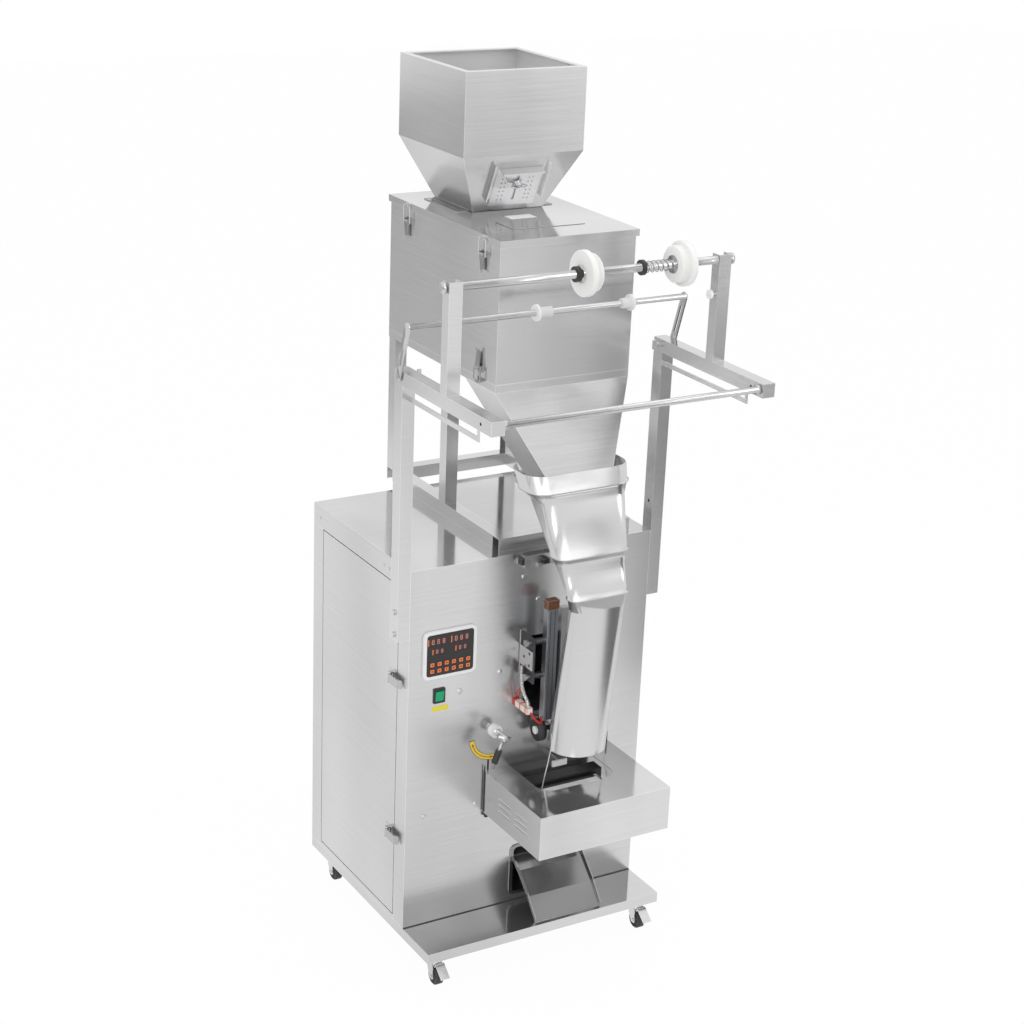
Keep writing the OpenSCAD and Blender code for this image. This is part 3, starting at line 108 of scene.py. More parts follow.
def add_camera():
    """The camera, turned by its azimuth, its tilt and then its roll."""
    az = math.radians(CAM_AZIMUTH)
    down = math.radians(CAM_DOWN)
    roll = math.radians(CAM_ROLL)
    back = Vector((math.sin(az) * math.cos(down), -math.cos(az) * math.cos(down), math.sin(down)))
    forward = -back
    right = forward.cross(Vector(UP)).normalized()
    up = right.cross(forward)
    right_rolled = math.cos(roll) * right + math.sin(roll) * up
    up_rolled = -math.sin(roll) * right + math.cos(roll) * up
    data = bpy.data.cameras.new("camera")
    data.sensor_width = SENSOR_MM
    data.lens = FOCAL_PX * SENSOR_MM / IMAGE_PX
    data.clip_start = 0.1
    data.clip_end = 60
    camera = bpy.data.objects.new("camera", data)
    turn = Matrix((right_rolled, up_rolled, back)).transposed().to_4x4()
    camera.matrix_world = Matrix.Translation(CAM_PLACE) @ turn
    bpy.context.collection.objects.link(camera)
    bpy.context.scene.camera = camera


# Node helpers

def new_material(name):
    """A material with nodes, its tree and its shader."""
    mat = bpy.data.materials.new(name)
    mat.use_nodes = True
    tree = mat.node_tree
    return mat, tree, tree.nodes["Principled BSDF"]


def add_node(tree, kind, **values):
    """A node whose inputs, or else its settings, take the values given by name."""
    node = tree.nodes.new(kind)
    for key, value in values.items():
        if key in node.inputs:
            node.inputs[key].default_value = value
        else:
            setattr(node, key, value)
    return node


def ramp(tree, source, stops):
    """The colour of a ramp with stops of (place, colour)."""
    node = tree.nodes.new("ShaderNodeValToRGB")
    elements = node.color_ramp.elements
    while len(elements) < len(stops):
        elements.new(0.5)
    for element, (place_at, colour) in zip(elements, stops):
        element.position = place_at
        element.color = (*colour, 1)
    tree.links.new(source, node.inputs["Fac"])
    return node.outputs["Color"]


def spread(tree, source, low, high):
    """A source of 0 to 1, spread from low to high."""
    node = add_node(tree, "ShaderNodeMapRange")
    tree.links.new(source, node.inputs["Value"])
    node.inputs["To Min"].default_value = low
    node.inputs["To Max"].default_value = high
    return node.outputs[0]


def arithmetic(tree, operation, first, second):
    """The result of one operation on a socket and a second socket or number."""
    node = add_node(tree, "ShaderNodeMath", operation=operation)
    tree.links.new(first, node.inputs[0])
    if isinstance(second, (int, float)):
        node.inputs[1].default_value = second
    else:
        tree.links.new(second, node.inputs[1])
    return node.outputs[0]


def object_coords(tree):
    return add_node(tree, "ShaderNodeTexCoord").outputs["Object"]


def scaled_coords(tree, coords, scale):
    node = add_node(tree, "ShaderNodeMapping")
    node.inputs["Scale"].default_value = scale
    tree.links.new(coords, node.inputs["Vector"])
    return node.outputs[0]


def grey(level):
    return (level, level, level)


def dark_and_pale(colour, contrast):
    """The two ends of a colour's own variation."""
    dark = tuple(c * (1 - contrast) for c in colour)
    pale = tuple(min(1.0, c * (1 + contrast)) for c in colour)
    return dark, pale


# How deep the finest relief of any surface is
RELIEF = 0.2 * MM


def add_relief(tree, bsdf, source, strength):
    """Bump of the surface by a source."""
    height = add_node(tree, "ShaderNodeBump", Strength=strength, Distance=RELIEF)
    tree.links.new(source, height.inputs["Height"])
    tree.links.new(height.outputs[0], bsdf.inputs["Normal"])


# Materials

# A face whose normal's upright share is above this counts as level
LEVEL_SHARE = 0.8
# How much smoother a level face is than an upright one
LEVEL_POLISH = 0.42
# Noise cells per metre, across the grain's lines and along them
GRAIN_ACROSS = 900.0
GRAIN_ALONG = 5.0
GRAIN_ROUGH_SPREAD = 0.05
# Cells per metre of the soft clouds of painted reflection, along X, Y and Z
PAINTED_REFLECTION_SCALE = (5.0, 3.0, 1.6)
# Colour of the painted highlight along folded edges
EDGE_HIGHLIGHT_COLOUR = (0.93, 0.93, 0.94, 1)
MOULDED_ROUGH_SPREAD = 0.06
LEAST_ROUGH = 0.02


def level_faces(tree):
    """1 on level faces, 0 on upright and sloping ones."""
    normal = add_node(tree, "ShaderNodeNewGeometry").outputs["True Normal"]
    split = add_node(tree, "ShaderNodeSeparateXYZ")
    tree.links.new(normal, split.inputs["Vector"])
    size = add_node(tree, "ShaderNodeMath", operation="ABSOLUTE")
    tree.links.new(split.outputs["Z"], size.inputs[0])
    return arithmetic(tree, "GREATER_THAN", size.outputs[0], LEVEL_SHARE)


def grain_vector(tree, is_level):
    """Object coordinates, stretched so that noise on them runs along X and Y on upright
    faces and along X on level ones."""
    coords = object_coords(tree)
    mix = add_node(tree, "ShaderNodeMix", data_type="VECTOR")
    tree.links.new(is_level, mix.inputs[0])
    upright = scaled_coords(tree, coords, (GRAIN_ALONG, GRAIN_ALONG, GRAIN_ACROSS))
    level = scaled_coords(tree, coords, (GRAIN_ALONG, GRAIN_ACROSS, GRAIN_ALONG))
    tree.links.new(upright, mix.inputs[4])
    tree.links.new(level, mix.inputs[5])
    return mix.outputs[1]


def painted_reflection_clouds(tree, colour, painted_reflection_dark):
    """The colour, a little darker in broad soft clouds, as a painted reflection."""
    reflection_noise = add_node(tree, "ShaderNodeTexNoise", Scale=1.0, Detail=1.0)
    broad = scaled_coords(tree, object_coords(tree), PAINTED_REFLECTION_SCALE)
    tree.links.new(broad, reflection_noise.inputs["Vector"])
    shade = ramp(tree, reflection_noise.outputs[0], [(0.34, grey(painted_reflection_dark)), (0.62, grey(1.0))])
    mixed = add_node(tree, "ShaderNodeMix", data_type="RGBA", blend_type="MULTIPLY")
    mixed.inputs[0].default_value = 1.0
    tree.links.new(colour, mixed.inputs[6])
    tree.links.new(shade, mixed.inputs[7])
    return mixed.outputs[2]


def painted_edge_highlight(tree, colour, reach):
    """The colour, paler along folded edges as a painted highlight, where a rounded normal differs
    from the flat one.
    """
    rounded = add_node(tree, "ShaderNodeBevel", samples=4, Radius=reach)
    flat = add_node(tree, "ShaderNodeNewGeometry")
    dot = add_node(tree, "ShaderNodeVectorMath", operation="DOT_PRODUCT")
    tree.links.new(rounded.outputs[0], dot.inputs[0])
    tree.links.new(flat.outputs["Normal"], dot.inputs[1])
    edge_highlight_mask = ramp(tree, dot.outputs["Value"], [(0.75, grey(1.0)), (0.97, grey(0.0))])
    mixed = add_node(tree, "ShaderNodeMix", data_type="RGBA")
    tree.links.new(edge_highlight_mask, mixed.inputs[0])
    tree.links.new(colour, mixed.inputs[6])
    mixed.inputs[7].default_value = EDGE_HIGHLIGHT_COLOUR
    return mixed.outputs[2]


def brushed_metal(name, colour, rough, contrast=0.05, anisotropic=0.55, bump=0.06, edge=0.0012,
                  painted_reflection_dark=0.86, metallic=0.88):
    """Metal with a fine grain, broad soft clouds of painted reflection and a painted highlight along
    its folded edges.
    """
    mat, tree, bsdf = new_material(name)
    links = tree.links
    bsdf.inputs["Metallic"].default_value = metallic
    bsdf.inputs["Anisotropic"].default_value = anisotropic
    is_level = level_faces(tree)
    grain = add_node(tree, "ShaderNodeTexNoise", Scale=1.0, Detail=4.0, Roughness=0.65)
    links.new(grain_vector(tree, is_level), grain.inputs["Vector"])
    dark, pale = dark_and_pale(colour, contrast)
    tone = ramp(tree, grain.outputs[0], [(0.3, dark), (0.7, pale)])
    # Painted reflection in soft clouds, then a painted highlight along folded edges
    tone = painted_edge_highlight(tree, painted_reflection_clouds(tree, tone, painted_reflection_dark), edge)
    links.new(tone, bsdf.inputs["Base Color"])
    low, high = rough - GRAIN_ROUGH_SPREAD, rough + GRAIN_ROUGH_SPREAD
    grain_rough = spread(tree, grain.outputs[0], low, high)
    polish = spread(tree, is_level, 1.0, LEVEL_POLISH)
    links.new(arithmetic(tree, "MULTIPLY", grain_rough, polish), bsdf.inputs["Roughness"])
    add_relief(tree, bsdf, grain.outputs[0], bump)
    tangent = add_node(tree, "ShaderNodeTangent", direction_type="RADIAL", axis="Z")
    links.new(tangent.outputs[0], bsdf.inputs["Tangent"])
    return mat


def moulded(name, colour, rough, metallic=0.0, speckle=0.05, scale=900.0, bump=0.08):
    """Plastic, rubber or painted metal with a fine moulded surface."""
    mat, tree, bsdf = new_material(name)
    links = tree.links
    bsdf.inputs["Metallic"].default_value = metallic
    noise = add_node(tree, "ShaderNodeTexNoise", Scale=scale, Detail=3.0)
    links.new(object_coords(tree), noise.inputs["Vector"])
    dark, pale = dark_and_pale(colour, speckle)
    links.new(ramp(tree, noise.outputs[0], [(0.35, dark), (0.65, pale)]), bsdf.inputs["Base Color"])
    low = max(LEAST_ROUGH, rough - MOULDED_ROUGH_SPREAD)
    high = rough + MOULDED_ROUGH_SPREAD
    links.new(spread(tree, noise.outputs[0], low, high), bsdf.inputs["Roughness"])
    add_relief(tree, bsdf, noise.outputs[0], bump)
    return mat


MATS = {
    "steel": brushed_metal("brushed steel", (0.66, 0.66, 0.665), 0.24, edge=0.002),
    "steel_guard": brushed_metal("brushed steel guard", (0.70, 0.70, 0.705), 0.24, edge=0.002),
    "steel_foot": brushed_metal("dark steel foot", (0.24, 0.24, 0.245), 0.25),
    "steel_cover": brushed_metal("brushed steel cover", (0.66, 0.66, 0.665), 0.22),
    "steel_inside": brushed_metal("steel inside", (0.90, 0.90, 0.905), 0.35, metallic=0.3),
    # The chute's steel is darkened as a painted reflection of the guard's dark underside
    "chute_painted_dark_reflection": brushed_metal("chute steel with painted dark reflection", (0.29, 0.29, 0.295), 0.2),
    "steel_bright": brushed_metal("bright steel", (0.72, 0.72, 0.725), 0.20, 0.03),
    "steel_frame": brushed_metal("steel channel", (0.68, 0.68, 0.685), 0.24, edge=0.0016),
    "former": brushed_metal("former steel", (0.70, 0.70, 0.705), 0.24, 0.025, 0.4, 0.015, 0.001),
    "chrome": brushed_metal("chrome rod", (0.60, 0.60, 0.61), 0.16, 0.02, 0.2, 0.02, 0.0005),
    "spring": brushed_metal("spring wire", (0.34, 0.34, 0.345), 0.22, 0.02, 0.2, 0.02, 0.0003),
    "spring_bar": brushed_metal("bar spring wire", (0.18, 0.18, 0.185), 0.25, 0.02, 0.2, 0.02,
                                0.0003),
    "latch": brushed_metal("latch plating", (0.42, 0.42, 0.43), 0.20, 0.05, 0.2, 0.04, 0.0008),
    "door_latch": brushed_metal("door latch plating", (0.50, 0.50, 0.51), 0.14, 0.04, 0.2, 0.04),
    "zinc": brushed_metal("zinc plate", (0.66, 0.67, 0.68), 0.26, 0.04, 0.2, 0.04, 0.0005),
    "aluminium": brushed_metal("extruded aluminium", (0.44, 0.46, 0.49), 0.34, 0.06),
    "white": moulded("white plastic", (0.84, 0.84, 0.83), 0.42, speckle=0.02),
    "black": moulded("black plastic", (0.022, 0.022, 0.024), 0.42, speckle=0.2),
    "rubber": moulded("black rubber", (0.04, 0.04, 0.042), 0.6, speckle=0.15),
    "overlay": moulded("black overlay", (0.014, 0.014, 0.016), 0.25, speckle=0.1, bump=0.02),
    "display": moulded("display window", (0.045, 0.012, 0.010), 0.12, speckle=0.1, bump=0.01),
    "orange": moulded("orange print", (0.90, 0.20, 0.035), 0.4, speckle=0.03, bump=0.02),
    "digits": moulded("display digits", (0.75, 0.36, 0.28), 0.4, speckle=0.03, bump=0.02),
    "green": moulded("green switch", (0.006, 0.36, 0.16), 0.22, speckle=0.03, bump=0.02),
    "yellow": moulded("yellow print", (0.80, 0.68, 0.06), 0.38, speckle=0.03, bump=0.02),
    "red": moulded("red print", (0.60, 0.03, 0.02), 0.42, speckle=0.04, bump=0.02),
    "brown": moulded("brown insulation", (0.17, 0.062, 0.026), 0.45, speckle=0.25, scale=300.0),
    "jaw": moulded("blackened steel", (0.035, 0.035, 0.037), 0.38, metallic=0.4, speckle=0.15),
    "motor": moulded("grey paint", (0.28, 0.30, 0.33), 0.4, speckle=0.06),
    "paper": moulded("white label", (0.86, 0.86, 0.85), 0.55, speckle=0.01, bump=0.02),
    "seam": moulded("shaded seam", (0.05, 0.05, 0.052), 0.6, speckle=0.1),
    "wire_red": moulded("red wire", (0.62, 0.03, 0.02), 0.4, speckle=0.05),
    "braid": moulded("silver braid", (0.50, 0.50, 0.48), 0.35, 0.5, 0.75, 420.0, 0.6),
}

# The CAD nodes that take each material
NODE_MATS = {
    "steel": ["cabinet_shell", "front_panel", "side_door", "scale_box", "funnel", "hopper",
              "feeder", "weigher", "bucket_flap"],
    "chute_painted_dark_reflection": ["discharge_chute"],
    "steel_cover": ["top_cover", "base_plate", "lid", "inspection_window"],
    "steel_guard": ["guard"],
    "steel_frame": ["scale_stand", "film_frame_left", "film_frame_right", "sealer_bracket"],
    "steel_bright": ["hopper_gate", "brake_left", "brake_right"],
    "former": ["former_collar", "forming_tube"],
    "chrome": ["film_shaft", "dancer_frame", "front_rod", "jaw_rods", "pressure_lever",
               "gate_screw"],
    "spring_bar": ["bar_springs"],
    "latch": ["latch_bases", "lid_latch_front", "lid_latch_rear", "box_latch"],
    "door_latch": ["door_latch_upper", "door_latch_lower"],
    "zinc": ["fasteners", "fork_front_left", "fork_front_right", "fork_rear_left",
             "fork_rear_right"],
    "aluminium": ["heater_bar"],
    "white": ["controller_bezel", "roll_cones", "guide_rings"],
    "overlay": ["controller_face"],
    "black": ["rocker_frame", "shaft_collars"],
    "green": ["rocker"],
    "jaw": ["front_jaw", "rear_jaw"],
    "motor": ["gear_motor", "crank_disc"],
    "rubber": ["pull_rollers", "wheel_front_left", "wheel_front_right", "wheel_rear_left",
               "wheel_rear_right"],
    "wire_red": ["heater_leads"],
}

# Turned and lofted nodes, whose copies are shaded smooth
SMOOTHED = ["former_collar", "forming_tube", "film_shaft", "dancer_frame", "front_rod", "jaw_rods",
            "bar_springs", "pressure_lever", "gate_screw", "roll_cones", "guide_rings",
            "shaft_collars", "pull_rollers", "wheel_front_left", "wheel_front_right",
            "wheel_rear_left", "wheel_rear_right"]

# How far the normals of an upright front turn outwards at its sides
BULGED = {"forming_tube": 0.6}


# Mesh helpers

# Points nearer than this are one point
WELD = 1e-6


def spot(x, y, z):
    """A place in metres, from millimetres: from the panel's centre plane, from the panel's
    outer face and from the floor, as in the CAD part."""
    return Vector((x * MM, PANEL_Y + y * MM, z * MM))


def place(name, mesh, material, body):
    """An object of the mesh that rides on a body."""
    obj = bpy.data.objects.new(name.replace(" ", "_"), mesh)
    bpy.context.collection.objects.link(obj)
    mesh.materials.append(MATS[material])
    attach(obj, body)
    return obj


def finish_mesh(bm, name, smooth_deg=35):
    """A mesh of the bmesh, smooth apart from its sharp edges."""
    bmesh.ops.recalc_face_normals(bm, faces=bm.faces)
    mesh = bpy.data.meshes.new(name)
    bm.to_mesh(mesh)
    bm.free()
    mesh.shade_smooth()
    mesh.set_sharp_from_angle(angle=math.radians(smooth_deg))
    return mesh


def lathe(name, profile, centre, axis, material, body, steps=64):
    """Turns a closed profile of (along, radius) points, in millimetres, about an axis."""
    bm = bmesh.new()
    rings = []
    side = Vector(UP) if abs(axis[2]) < 0.5 else Vector(TO_RIGHT)
    along_axis = Vector(axis).normalized()
    side = (side - side.dot(along_axis) * along_axis).normalized()
    other = along_axis.cross(side)
    for i in range(steps):
        t = 2 * math.pi * i / steps
        out = math.cos(t) * side + math.sin(t) * other
        rings.append([bm.verts.new(Vector(centre) + MM * (a * along_axis + r * out))
                      for a, r in profile])
    count = len(profile)
    for i in range(steps):
        a, b = rings[i], rings[(i + 1) % steps]
        for k in range(count):
            q = (k + 1) % count
            bm.faces.new((a[k], a[q], b[q], b[k]))
    bmesh.ops.remove_doubles(bm, verts=bm.verts, dist=WELD)
    return place(name, finish_mesh(bm, name), material, body)


def disc_profile(inner, outer, thick):
    """Profile of a flat ring for lathe(), as (along, radius) points."""
    return [(0, inner), (0, outer), (thick, outer), (thick, inner)]


def box_outline(w, h):
    return [(-w / 2, -h / 2), (w / 2, -h / 2), (w / 2, h / 2), (-w / 2, h / 2)]


def rounded_outline(w, h, r, steps=6):
    """Outline of a rectangle with rounded corners."""
    points = []
    for q, (sx, sz) in enumerate(((1, 1), (-1, 1), (-1, -1), (1, -1))):
        for k in range(steps + 1):
            t = math.pi / 2 * (q + k / steps)
            points.append((sx * (w / 2 - r) + r * math.cos(t), sz * (h / 2 - r) + r * math.sin(t)))
    return points


def plate(name, outline, origin, across, up, thick, material, body):
    """A flat plate: an outline in millimetres, spread along two directions from its
    origin, with its thickness standing out along their cross product."""
    across, up = Vector(across), Vector(up)
    out = across.cross(up)
    bm = bmesh.new()
    base = [bm.verts.new(Vector(origin) + MM * (x * across + z * up)) for x, z in outline]
    face = bm.faces.new(base)
    grown = bmesh.ops.extrude_face_region(bm, geom=[face])
    moved = [v for v in grown["geom"] if isinstance(v, bmesh.types.BMVert)]
    bmesh.ops.translate(bm, verts=moved, vec=out * thick * MM)
    return place(name, finish_mesh(bm, name), material, body)


def front_plate(name, outline, origin, thick, material, body=ROOT):
    """A plate that faces the operator."""
    return plate(name, outline, origin, TO_RIGHT, UP, thick, material, body)


def casing(name, xs, ys, zs, material, body, bevel=0.6, grow=0.25):
    """A bevelled block fitted over a CAD block, grown by a little on each side."""
    bm = bmesh.new()
    lo = spot(xs[0] - grow, ys[0] - grow, zs[0] - grow)
    hi = spot(xs[1] + grow, ys[1] + grow, zs[1] + grow)
    bmesh.ops.create_cube(bm, size=1.0)
    bmesh.ops.scale(bm, vec=hi - lo, verts=bm.verts)
    bmesh.ops.translate(bm, vec=(lo + hi) / 2, verts=bm.verts)
    bmesh.ops.bevel(bm, geom=list(bm.edges), offset=bevel * MM, segments=2, affect="EDGES")
    return place(name, finish_mesh(bm, name), material, body)


def smooth_route(points, steps=6):
    """Points on a Catmull-Rom curve through the route's points."""
    last = len(points) - 1
    route = []
    for i in range(last):
        a, b, c, d = (Vector(points[max(0, min(last, i + k))]) for k in (-1, 0, 1, 2))
        for s in range(steps):
            t = s / steps
            route.append(0.5 * (2 * b + (c - a) * t + (2 * a - 5 * b + 4 * c - d) * t * t
                                + (3 * b - a - 3 * c + d) * t ** 3))
    route.append(Vector(points[last]))
    return route


def tube(name, points, radius, material, sides=12):
    """A round tube of the frame along a route, in millimetres."""
    route = smooth_route(points)
    bm = bmesh.new()
    rings = []
    side = Vector(TO_RIGHT)
    for i, p in enumerate(route):
        ahead = (route[min(i + 1, len(route) - 1)] - route[max(i - 1, 0)]).normalized()
        side = (side - side.dot(ahead) * ahead).normalized()
        other = ahead.cross(side)
        rings.append([bm.verts.new(spot(*(p + radius * (math.cos(t) * side + math.sin(t) * other))))
                      for t in (2 * math.pi * k / sides for k in range(sides))])
    for a, b in zip(rings, rings[1:]):
        for k in range(sides):
            q = (k + 1) % sides
            bm.faces.new((a[k], a[q], b[q], b[k]))
    bm.faces.new(rings[0])
    bm.faces.new(reversed(rings[-1]))
    return place(name, finish_mesh(bm, name), material, ROOT)


# CAD nodes

# The roll spring's reach along the film shaft, and a radius that only its coils pass
SPRING_X = (110 * MM, 176 * MM)
SPRING_R = 9 * MM
# The feet of the hopper are a little thinner than this
FOOT_T = 2.5 * MM
# A hopper's face looks inwards when its normal's outward share is below this
INWARD_SHARE = -0.3


def dress_nodes():
    """Gives each CAD node its material."""
    for key, names in NODE_MATS.items():
        for name in names:
            node = frame["nodes"][name]
            node.data.materials.clear()
            node.data.materials.append(MATS[key])
            if name in SMOOTHED:
                smooth_copy(name, key)
    line_hopper()


def mark_coils(bm):
    """Gives the spring's faces on the film shaft the second material."""
    lo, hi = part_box("film_shaft")
    mid = (lo + hi) / 2
    for face in bm.faces:
        centre = face.calc_center_median()
        from_axis = math.hypot(centre.y - mid.y, centre.z - mid.z)
        if SPRING_X[0] < centre.x < SPRING_X[1] and from_axis > SPRING_R:
            face.material_index = 1


def bulge_normals(mesh, turn):
    """Turns the normals of an upright flat front outwards to its sides, as on a slightly
    bulged sheet."""
    xs = [v.co.x for v in mesh.vertices]
    mid = (min(xs) + max(xs)) / 2
    half = (max(xs) - min(xs)) / 2
    normals = []
    for v in mesh.vertices:
        normal = v.normal.copy()
        facing = max(0.0, -normal.y)
        normal.x += turn * facing * (v.co.x - mid) / half
        normal.z = 0.0
        normals.append(normal.normalized())
    mesh.normals_split_custom_set_from_vertices(normals)


def smooth_copy(name, key):
    """A copy of a turned or lofted node with its curved faces shaded smooth."""
    node = frame["nodes"][name]
    body = body_of(node)[0]
    bm = bmesh.new()
    bm.from_mesh(node.data)
    bmesh.ops.remove_doubles(bm, verts=bm.verts, dist=WELD)
    bmesh.ops.transform(bm, matrix=node.matrix_world, verts=bm.verts)
    if name == "film_shaft":
        mark_coils(bm)
    obj = place("smooth " + name, finish_mesh(bm, "smooth " + name), key, body)
    if name == "film_shaft":
        obj.data.materials.append(MATS["spring"])
    if name in BULGED:
        bulge_normals(obj.data, BULGED[name])
    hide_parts(name)


def line_hopper():
    """A copy of the hopper with matt inner faces and dark feet."""
    node = frame["nodes"]["hopper"]
    lo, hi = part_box("hopper")
    axis = Vector(((lo.x + hi.x) / 2, hi.y - (hi.x - lo.x) / 2, 0))
    bm = bmesh.new()
    bm.from_mesh(node.data)
    bmesh.ops.transform(bm, matrix=node.matrix_world, verts=bm.verts)
    bmesh.ops.remove_doubles(bm, verts=bm.verts, dist=WELD)
    bmesh.ops.recalc_face_normals(bm, faces=bm.faces)
    for face in bm.faces:
        centre = face.calc_center_median()
        out = centre - axis
        out.z = 0
        if face.normal.dot(out.normalized()) < INWARD_SHARE:
            face.material_index = 1
        if centre.z < lo.z + FOOT_T:
            face.material_index = 2
    mesh = bpy.data.meshes.new("hopper lined")
    bm.to_mesh(mesh)
    bm.free()
    obj = place("hopper lined", mesh, "steel", "lid")
    mesh.materials.append(MATS["steel_inside"])
    mesh.materials.append(MATS["steel_foot"])
    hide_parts("hopper")


# Studio

WHITE = (1, 1, 1, 1)
FLOOR_HALF = 12.0
FLOOR_GREY = 0.92
FLOOR_GLOW = 0.97
ROOM_LIGHT = 0.8
# Flags: name, foot of the panel, width and height, turn about Z, and grey
FLAGS = [
    ("flag front", (1.27, -1.75, 0.25), (0.24, 1.2), 30, 0.30),
    ("flag right", (1.16, -0.80, 0.0), (0.7, 1.1), 66, 0.04),
    ("flag back left", (-1.1, 2.1, 0.42), (1.3, 1.0), -30, 0.40),
]
LAMP_AIM = (0, 0, 0.9)
# Lamps: name, place, width and height, and watts
LAMPS = [
    ("key", (-3.2, -2.4, 2.6), (1.6, 2.4), 30),
    ("side", (3.0, -1.8, 1.8), (0.9, 2.2), 15),
    ("top", (0.3, -0.4, 3.8), (2.4, 2.4), 20),
]


def background_rays(tree):
    """1 for the rays that show the white background: straight, mirrored or through glass."""
    path = add_node(tree, "ShaderNodeLightPath")
    total = path.outputs["Is Camera Ray"]
    for kind in ("Is Glossy Ray", "Is Transmission Ray"):
        total = arithmetic(tree, "MAXIMUM", total, path.outputs[kind])
    return total


def stage_sheet(name, corners, mat):
    """A flat sheet of the set, which isn't part of the object."""
    mesh = bpy.data.meshes.new(name)
    mesh.from_pydata(corners, [], [(0, 1, 2, 3)])
    mesh.materials.append(mat)
    sheet = bpy.data.objects.new(name, mesh)
    bpy.context.collection.objects.link(sheet)
    return sheet


def add_floor():
    """A white floor that merges with the background."""
    mat, tree, bsdf = new_material("floor")
    bsdf.inputs["Base Color"].default_value = (*grey(FLOOR_GREY), 1)
    bsdf.inputs["Roughness"].default_value = 0.8
    glow = add_node(tree, "ShaderNodeEmission")
    glow.inputs["Color"].default_value = WHITE
    mix = add_node(tree, "ShaderNodeMixShader")
    share = arithmetic(tree, "MULTIPLY", background_rays(tree), FLOOR_GLOW)
    tree.links.new(share, mix.inputs[0])
    tree.links.new(bsdf.outputs[0], mix.inputs[1])
    tree.links.new(glow.outputs[0], mix.inputs[2])
    tree.links.new(mix.outputs[0], tree.nodes["Material Output"].inputs["Surface"])
    half = FLOOR_HALF
    stage_sheet("floor", [(-half, -half, 0), (half, -half, 0), (half, half, 0), (-half, half, 0)],
                mat)


def add_backdrop():
    """A world that is white to see and a little dimmer as a light."""
    world = bpy.data.worlds.new("world")
    bpy.context.scene.world = world
    world.use_nodes = True
    tree = world.node_tree
    white = tree.nodes["Background"]
    white.inputs["Color"].default_value = WHITE
    room = add_node(tree, "ShaderNodeBackground", Strength=ROOM_LIGHT)
    room.inputs["Color"].default_value = WHITE
    mix = add_node(tree, "ShaderNodeMixShader")
    tree.links.new(background_rays(tree), mix.inputs[0])
    tree.links.new(room.outputs[0], mix.inputs[1])
    tree.links.new(white.outputs[0], mix.inputs[2])
    tree.links.new(mix.outputs[0], tree.nodes["World Output"].inputs["Surface"])


def add_lamp(name, centre, size, watts):
    data = bpy.data.lights.new(name, "AREA")
    data.shape = "RECTANGLE"
    data.size, data.size_y = size
    data.energy = watts
    lamp = bpy.data.objects.new(name, data)
    lamp.location = centre
    aim = Vector(LAMP_AIM) - Vector(centre)
    lamp.rotation_mode = "QUATERNION"
    lamp.rotation_quaternion = aim.to_track_quat("-Z", "Y")
    bpy.context.collection.objects.link(lamp)


def add_flag(name, foot, size, turn, level):
    """A grey studio flag that stands beside the set, seen only in the steel."""
    mat, tree, bsdf = new_material(name)
    bsdf.inputs["Base Color"].default_value = (*grey(level), 1)
    bsdf.inputs["Roughness"].default_value = 0.9
    w, h = size
    flag = stage_sheet(name, [(-w / 2, 0, 0), (w / 2, 0, 0), (w / 2, 0, h), (-w / 2, 0, h)], mat)
    flag.location = foot
    flag.rotation_euler = (0, 0, math.radians(turn))
    flag.visible_camera = False
    flag.visible_diffuse = False
    flag.visible_shadow = False


def add_studio():
    add_floor()
    add_backdrop()
    for lamp in LAMPS:
        add_lamp(*lamp)
    for flag in FLAGS:
        add_flag(*flag)


# Controller

# Places are millimetres from the bezel's centre
BEZEL_X = (BEZEL_LO.x + BEZEL_HI.x) / 2 / MM
BEZEL_Z = (BEZEL_LO.z + BEZEL_HI.z) / 2 / MM
# Depths before the panel of the face's film, the windows in it and the keys on it
FACE_OUT = 5.5
WINDOW_OUT = 5.0
KEY_OUT = 6.0
# Displays: place across and up, width, height and count of digits
DISPLAYS = [(-27, 29, 40, 16, 3), (24, 29, 40, 16, 3), (-24, 8, 26, 13, 2), (27, 8, 26, 13, 2)]
DISPLAY_BAR_W = 2.2
# A digit's height as a share of its window's, its width and its bars as shares of its height
DIGIT_HIGH = 0.66
DIGIT_WIDE = 0.5
DIGIT_BAR = 0.13
DIGIT_SPARE = 0.35
KEY_COLS = 6
KEY_ROWS = 2
KEY_PITCH = (16, 14)
KEY_TOP_Z = -19
KEY_SIZE = (8.6, 8.1)
KEY_MARK = (3.2, 2.8)
KEY_T = 0.12
SEGMENTS = {"0": "abcdef", "8": "abcdefg"}


def segment_boxes(shown, w, h, t):
    """The lit bars of a seven-segment digit, as (x0, x1, z0, z1) about its centre."""
    bars = {
        "a": (-w / 2, w / 2, h / 2 - t, h / 2), "d": (-w / 2, w / 2, -h / 2, t - h / 2),
        "g": (-w / 2, w / 2, -t / 2, t / 2), "f": (-w / 2, t - w / 2, 0, h / 2),
        "b": (w / 2 - t, w / 2, 0, h / 2), "e": (-w / 2, t - w / 2, -h / 2, 0),
        "c": (w / 2 - t, w / 2, -h / 2, 0),
    }
    return [bars[s] for s in SEGMENTS[shown]]


def add_digits(bm, x, z, w, h, count):
    """Faces of a display's digits: a nought and then eights."""
    digit_h = h * DIGIT_HIGH
    digit_w = digit_h * DIGIT_WIDE
    pitch = w / (count + DIGIT_SPARE)
    for d in range(count):
        mid = x + (d - (count - 1) / 2) * pitch
        for x0, x1, z0, z1 in segment_boxes("8" if d else "0", digit_w, digit_h,
                                            digit_h * DIGIT_BAR):
            corners = [(mid + x0, z + z0), (mid + x1, z + z0), (mid + x1, z + z1), (mid + x0, z + z1)]
            bm.faces.new([bm.verts.new(spot(a, -WINDOW_OUT - 0.16, b)) for a, b in corners])


